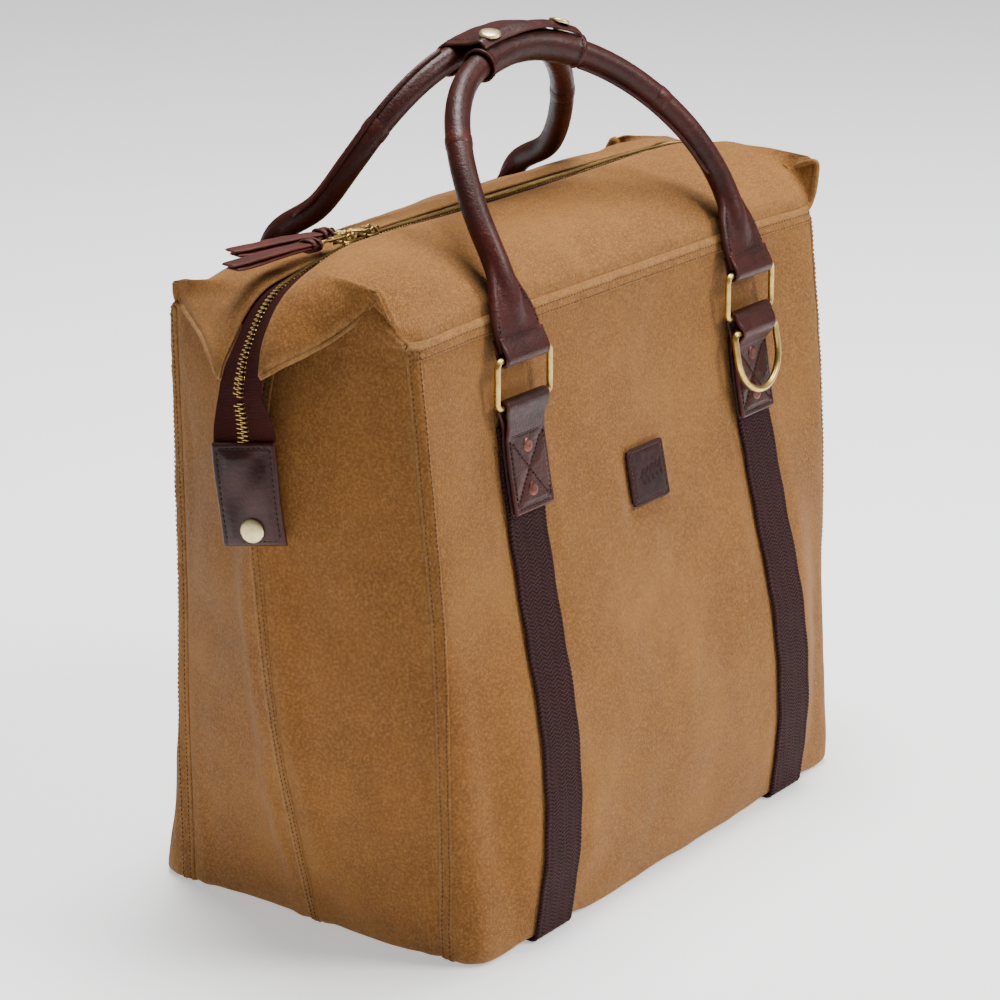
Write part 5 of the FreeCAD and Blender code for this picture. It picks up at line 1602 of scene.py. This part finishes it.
def slider_parts(x):
    """A cast slider: two plates round the chain, a bridge over the pull, and scrolls on its back."""
    top = ZIP_HEIGHT + 1.4 * MM

    def at(dx, y, dz):
        return (x + dx * MM, y * MM, top + dz * MM)

    parts = [box_part(at(-5.5, -4.8, 0.2), at(5.5, 4.8, 2.0), 0.5 * MM),
             box_part(at(-5.5, -4.8, -1.0), at(5.5, -3.9, 0.8), 0.25 * MM),
             box_part(at(-5.5, 3.9, -1.0), at(5.5, 4.8, 0.8), 0.25 * MM)]
    for y in (-3.4, 3.4):
        arch = [at(-2.6, y, 1.6), at(-2.2, y, 4.2), at(0, y, 5.4), at(2.4, y, 4.0), at(4.6, y, 1.6)]
        parts.append(tube_part(curve(arch, 0.4 * MM), 0.75 * MM))
    parts.append(tube_part([(x, y * MM, PIN_HEIGHT) for y in (-4.1, 0, 4.1)], 0.8 * MM, 14))
    for hand in (-1, 1):
        turn = np.linspace(0.3, 2.1 * math.pi, 26)
        radius = (2.3 - 0.27 * turn) * MM
        scroll = np.stack([x + 4.2 * MM + radius * np.cos(turn), np.full(26, hand * 3.0 * MM),
                           top + 3.6 * MM + radius * np.sin(turn)], -1)
        parts.append(tube_part(scroll, 0.6 * MM))
        flare = [at(-4.8, hand * 2.6, 1.8), at(-5.4, hand * 3.6, 3.2), at(-4.4, hand * 4.2, 4.4)]
        parts.append(tube_part(curve(flare, 0.4 * MM), 0.55 * MM))
    return parts


def headed(angle):
    """A level direction that starts towards -X and turns towards +Y."""
    return np.array([-math.cos(angle), math.sin(angle), 0])


def build_pull(side, x, yaw, lace_turn):
    """A slider with its pull bar, turned by yaw, and its lace, turned further by lace_turn."""
    slider = join_parts(f"{side}_slider_cast", slider_parts(x), DARK_BRASS, f"{side}_slider", 0.3)
    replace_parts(slider, f"{side}_slider")
    body = f"{side}_pull"
    pin = np.array([x, 0, PIN_HEIGHT])
    elbow = pin - X_AXIS * PULL_NECK
    way = headed(yaw)
    across = np.cross(way, Z_AXIS)
    tip = elbow + way * PULL_LENGTH
    barrel = np.array([pin - Y_AXIS * 2.3 * MM, pin, pin + Y_AXIS * 2.3 * MM])
    parts = [tube_part(barrel, 1.7 * MM, 16)]
    for hand in (-1, 1):
        rail = [pin + Y_AXIS * hand * 1.5 * MM, elbow + across * hand * 1.6 * MM,
                elbow + way * 8 * MM + across * hand * 1.2 * MM, tip - way * 6 * MM + across * hand * 1.0 * MM,
                tip - way * 2 * MM + across * hand * 1.9 * MM]
        parts.append(tube_part(curve(rail, 0.5 * MM), 0.75 * MM))
    rim = circle(1, 24)
    ring = tip - way * 0.8 * MM + (way[None] * rim[:, :1] * 2.0 + across[None] * rim[:, 1:] * 2.2) * MM
    parts.append(tube_part(np.concatenate([ring, ring[:2]]), 0.75 * MM))
    bead = [elbow + way * distance * MM for distance in (7, 9, 11)]
    parts.append(tube_part(bead, np.array([1.2, 1.9, 1.2]) * MM, 14))
    bar = join_parts(f"{side}_pull_metal", parts, DARK_BRASS, body, 0.5)
    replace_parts(bar, f"{side}_pull_bar")
    build_lace(side, tip, headed(yaw + lace_turn))


def build_lace(side, tip, heading):
    """A leather strip drawn through the end of the pull bar and doubled back: two tongues and a knot."""
    body = f"{side}_pull"
    cross = np.cross(heading, Z_AXIS)
    first = None
    for layer, (lift, spread, long) in enumerate(((1.0, 0.014, 1.0), (-1.0, -0.012, 0.97))):
        run = np.linspace(0, 1, 60)[:, None]
        drift = spread * smoothstep(0.45, 1.0, run)
        rise = lift * MM * (1 + 0.6 * smoothstep(0.5, 1.0, run)) + 1.2 * MM * np.sin(run * 5 + layer) * run
        reach = 1.5 * MM + run * (LACE_LENGTH - 2 * MM) * long
        path = tip + heading * reach + cross * drift * 60 * MM * run + Z_AXIS * rise
        width = np.interp(run[:, 0], [0, 0.05, 0.12, 0.5, 0.93, 1], [4.5, 6.5, 9.4, 10.8, 10.6, 9.0]) * MM
        piece = ribbon(f"{side}_lace_layer_{layer + 1}", path, np.broadcast_to(Z_AXIS, path.shape), width,
                       1.9 * MM, LACE_LEATHER, body, lace_relief, 17)
        first = first or piece
    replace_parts(first, f"{side}_pull_lace")
    loops = []
    turn = np.linspace(0, 2 * math.pi, 26)[:, None]
    for shift, tilt in ((5.0, 0.5), (7.6, -0.35), (10.0, 0.3)):
        around = cross * np.cos(turn) * 5.4 + Z_AXIS * np.sin(turn) * 3.2 + heading * np.cos(turn) * tilt * 3
        loops.append(tube_part(tip + heading * shift * MM + around * MM, 1.25 * MM))
    eye = np.linspace(-0.5 * math.pi, 0.5 * math.pi, 14)[:, None]
    bend = tip + heading * 1 * MM - (heading * np.cos(eye) * 1.6 - Z_AXIS * np.sin(eye) * 2.2) * MM
    loops.append(tube_part(bend, 1.5 * MM))
    join_parts(f"{side}_lace_knot", loops, LACE_LEATHER, body, 0.6)


def lace_relief(along, reach):
    dents = 0.22 * MM * np.sin(along / (3.1 * MM)) * np.sin(reach / (2.2 * MM) + along / (9 * MM))
    return dents - 0.2 * MM * bell(np.abs(reach) - 3.9 * MM, 0.5 * MM)


# ---------------------------------------------------------------- the patch

def mark_relief(across, up):
    """A plain sprig of leaves pressed into the leather."""
    stem = up - 1.6 * MM * np.sin(across / (7 * MM))
    depth = -0.5 * MM * bell(stem, 0.5 * MM) * (np.abs(across) < 13 * MM)
    for k in range(5):
        for hand in (-1, 1):
            x0 = (-10 + 5 * k) * MM
            y0 = 1.6 * MM * math.sin(x0 / (7 * MM))
            angle = math.radians(52) * hand
            dx, dy = across - x0, up - y0
            u = dx * math.cos(angle) + dy * math.sin(angle)
            v = -dx * math.sin(angle) + dy * math.cos(angle)
            leaf = ((u - 3.4 * MM) / (3.4 * MM)) ** 2 + (v / (1.5 * MM)) ** 2
            depth -= 0.55 * MM * (1 - smoothstep(0.75, 1.15, leaf)) - 0.25 * MM * bell(v, 0.3 * MM) * (leaf < 0.8)
    return depth


def build_patch():
    """The leather patch on the front, with its border groove, its mark and its stitches."""
    across, up = np.meshgrid(np.linspace(-0.5, 0.5, 131), np.linspace(-0.5, 0.5, 121))
    half_w, half_h = PATCH_WIDTH / 2, PATCH_HEIGHT / 2
    # Rounded corners: the square grid is drawn in where it would pass the corner arcs.
    x, z = across * PATCH_WIDTH, up * PATCH_HEIGHT
    over_x, over_z = np.abs(x) - (half_w - PATCH_CORNER), np.abs(z) - (half_h - PATCH_CORNER)
    corner = (over_x > 0) & (over_z > 0)
    scale = np.maximum(over_x, over_z) / np.maximum(np.hypot(over_x, over_z), 1e-9)
    x = np.where(corner, np.sign(x) * (half_w - PATCH_CORNER + over_x * scale), x)
    z = np.where(corner, np.sign(z) * (half_h - PATCH_CORNER + over_z * scale), z)
    room = np.minimum(half_w - np.abs(x), half_h - np.abs(z))
    inset = 2.6 * MM
    relief = -0.4 * MM * bell(room - inset, 0.55 * MM) + 0.35 * MM * smoothstep(3 * MM, 6 * MM, room)
    relief = relief + mark_relief(x, z - 0.5 * MM)
    relief = relief + clouds(np.stack([x, z, 0 * x], -1), 7 * MM, 44.0) * 0.18 * MM
    relief = relief - 0.8 * MM * bell(room, 0.55 * MM)
    base, face = on_front(0.0, PATCH_CENTRE + z[:, 0], 0.0)
    tilt = unit(face[60])
    rise = unit(base[-1] - base[0])
    centre = base[60] + tilt * 2.6 * MM
    grid = centre + X_AXIS * x[..., None] + rise * z[..., None] + tilt * relief[..., None]
    if grid_normals(grid)[60, 60] @ tilt < 0:
        grid = grid[::-1]
        room = room[::-1]
    patch = sheet_piece("patch_leather", grid, 1.9 * MM, PATCH_LEATHER, "bag", bell(room, 1.0 * MM), 0)
    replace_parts(patch, "front_patch")
    r = PATCH_CORNER
    w, h = half_w - inset, half_h - inset
    outline = []
    for cx, cz, start in ((w - r, h - r, 0), (-w + r, h - r, 90), (-w + r, -h + r, 180), (w - r, -h + r, 270)):
        for a in np.radians(np.linspace(start, start + 90, 8)):
            outline.append((cx + r * math.cos(a), cz + r * math.sin(a)))
    outline = np.array(outline + outline[:1])
    path = even(centre + X_AXIS * outline[:, :1] + rise * outline[:, 1:], 0.8 * MM)
    stitches = stitch_parts(path, tilt, 2.9 * MM, 2.1 * MM, 0.36 * MM, 0.16 * MM)
    join_parts("patch_stitches", stitches, PATCH_THREAD, "bag")


build_stage()
build_canvas()
build_lining()
build_seams()
build_hems()
build_zip()
build_straps()
build_chapes()
build_rings()
build_handle("front", FRONT_GRIP, -1)
build_handle("back", BACK_GRIP, 1)
build_wrap_sleeve()
build_wrap_flap()
build_pull("left", -168 * MM, 0.0, math.radians(5))
build_pull("right", -145 * MM, math.radians(30), math.radians(-16))
build_patch()
for name, material, slot in (("base_board", BOARD, "board"), ("front_handle_core", CORD, "cord"),
                             ("back_handle_core", CORD, "cord"), ("end_snap_studs", PALE_BRASS, "brass"),
                             ("wrap_snap_studs", PALE_BRASS, "brass")):
    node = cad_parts[name]
    node.data.materials.clear()
    node.data.materials.append(material)
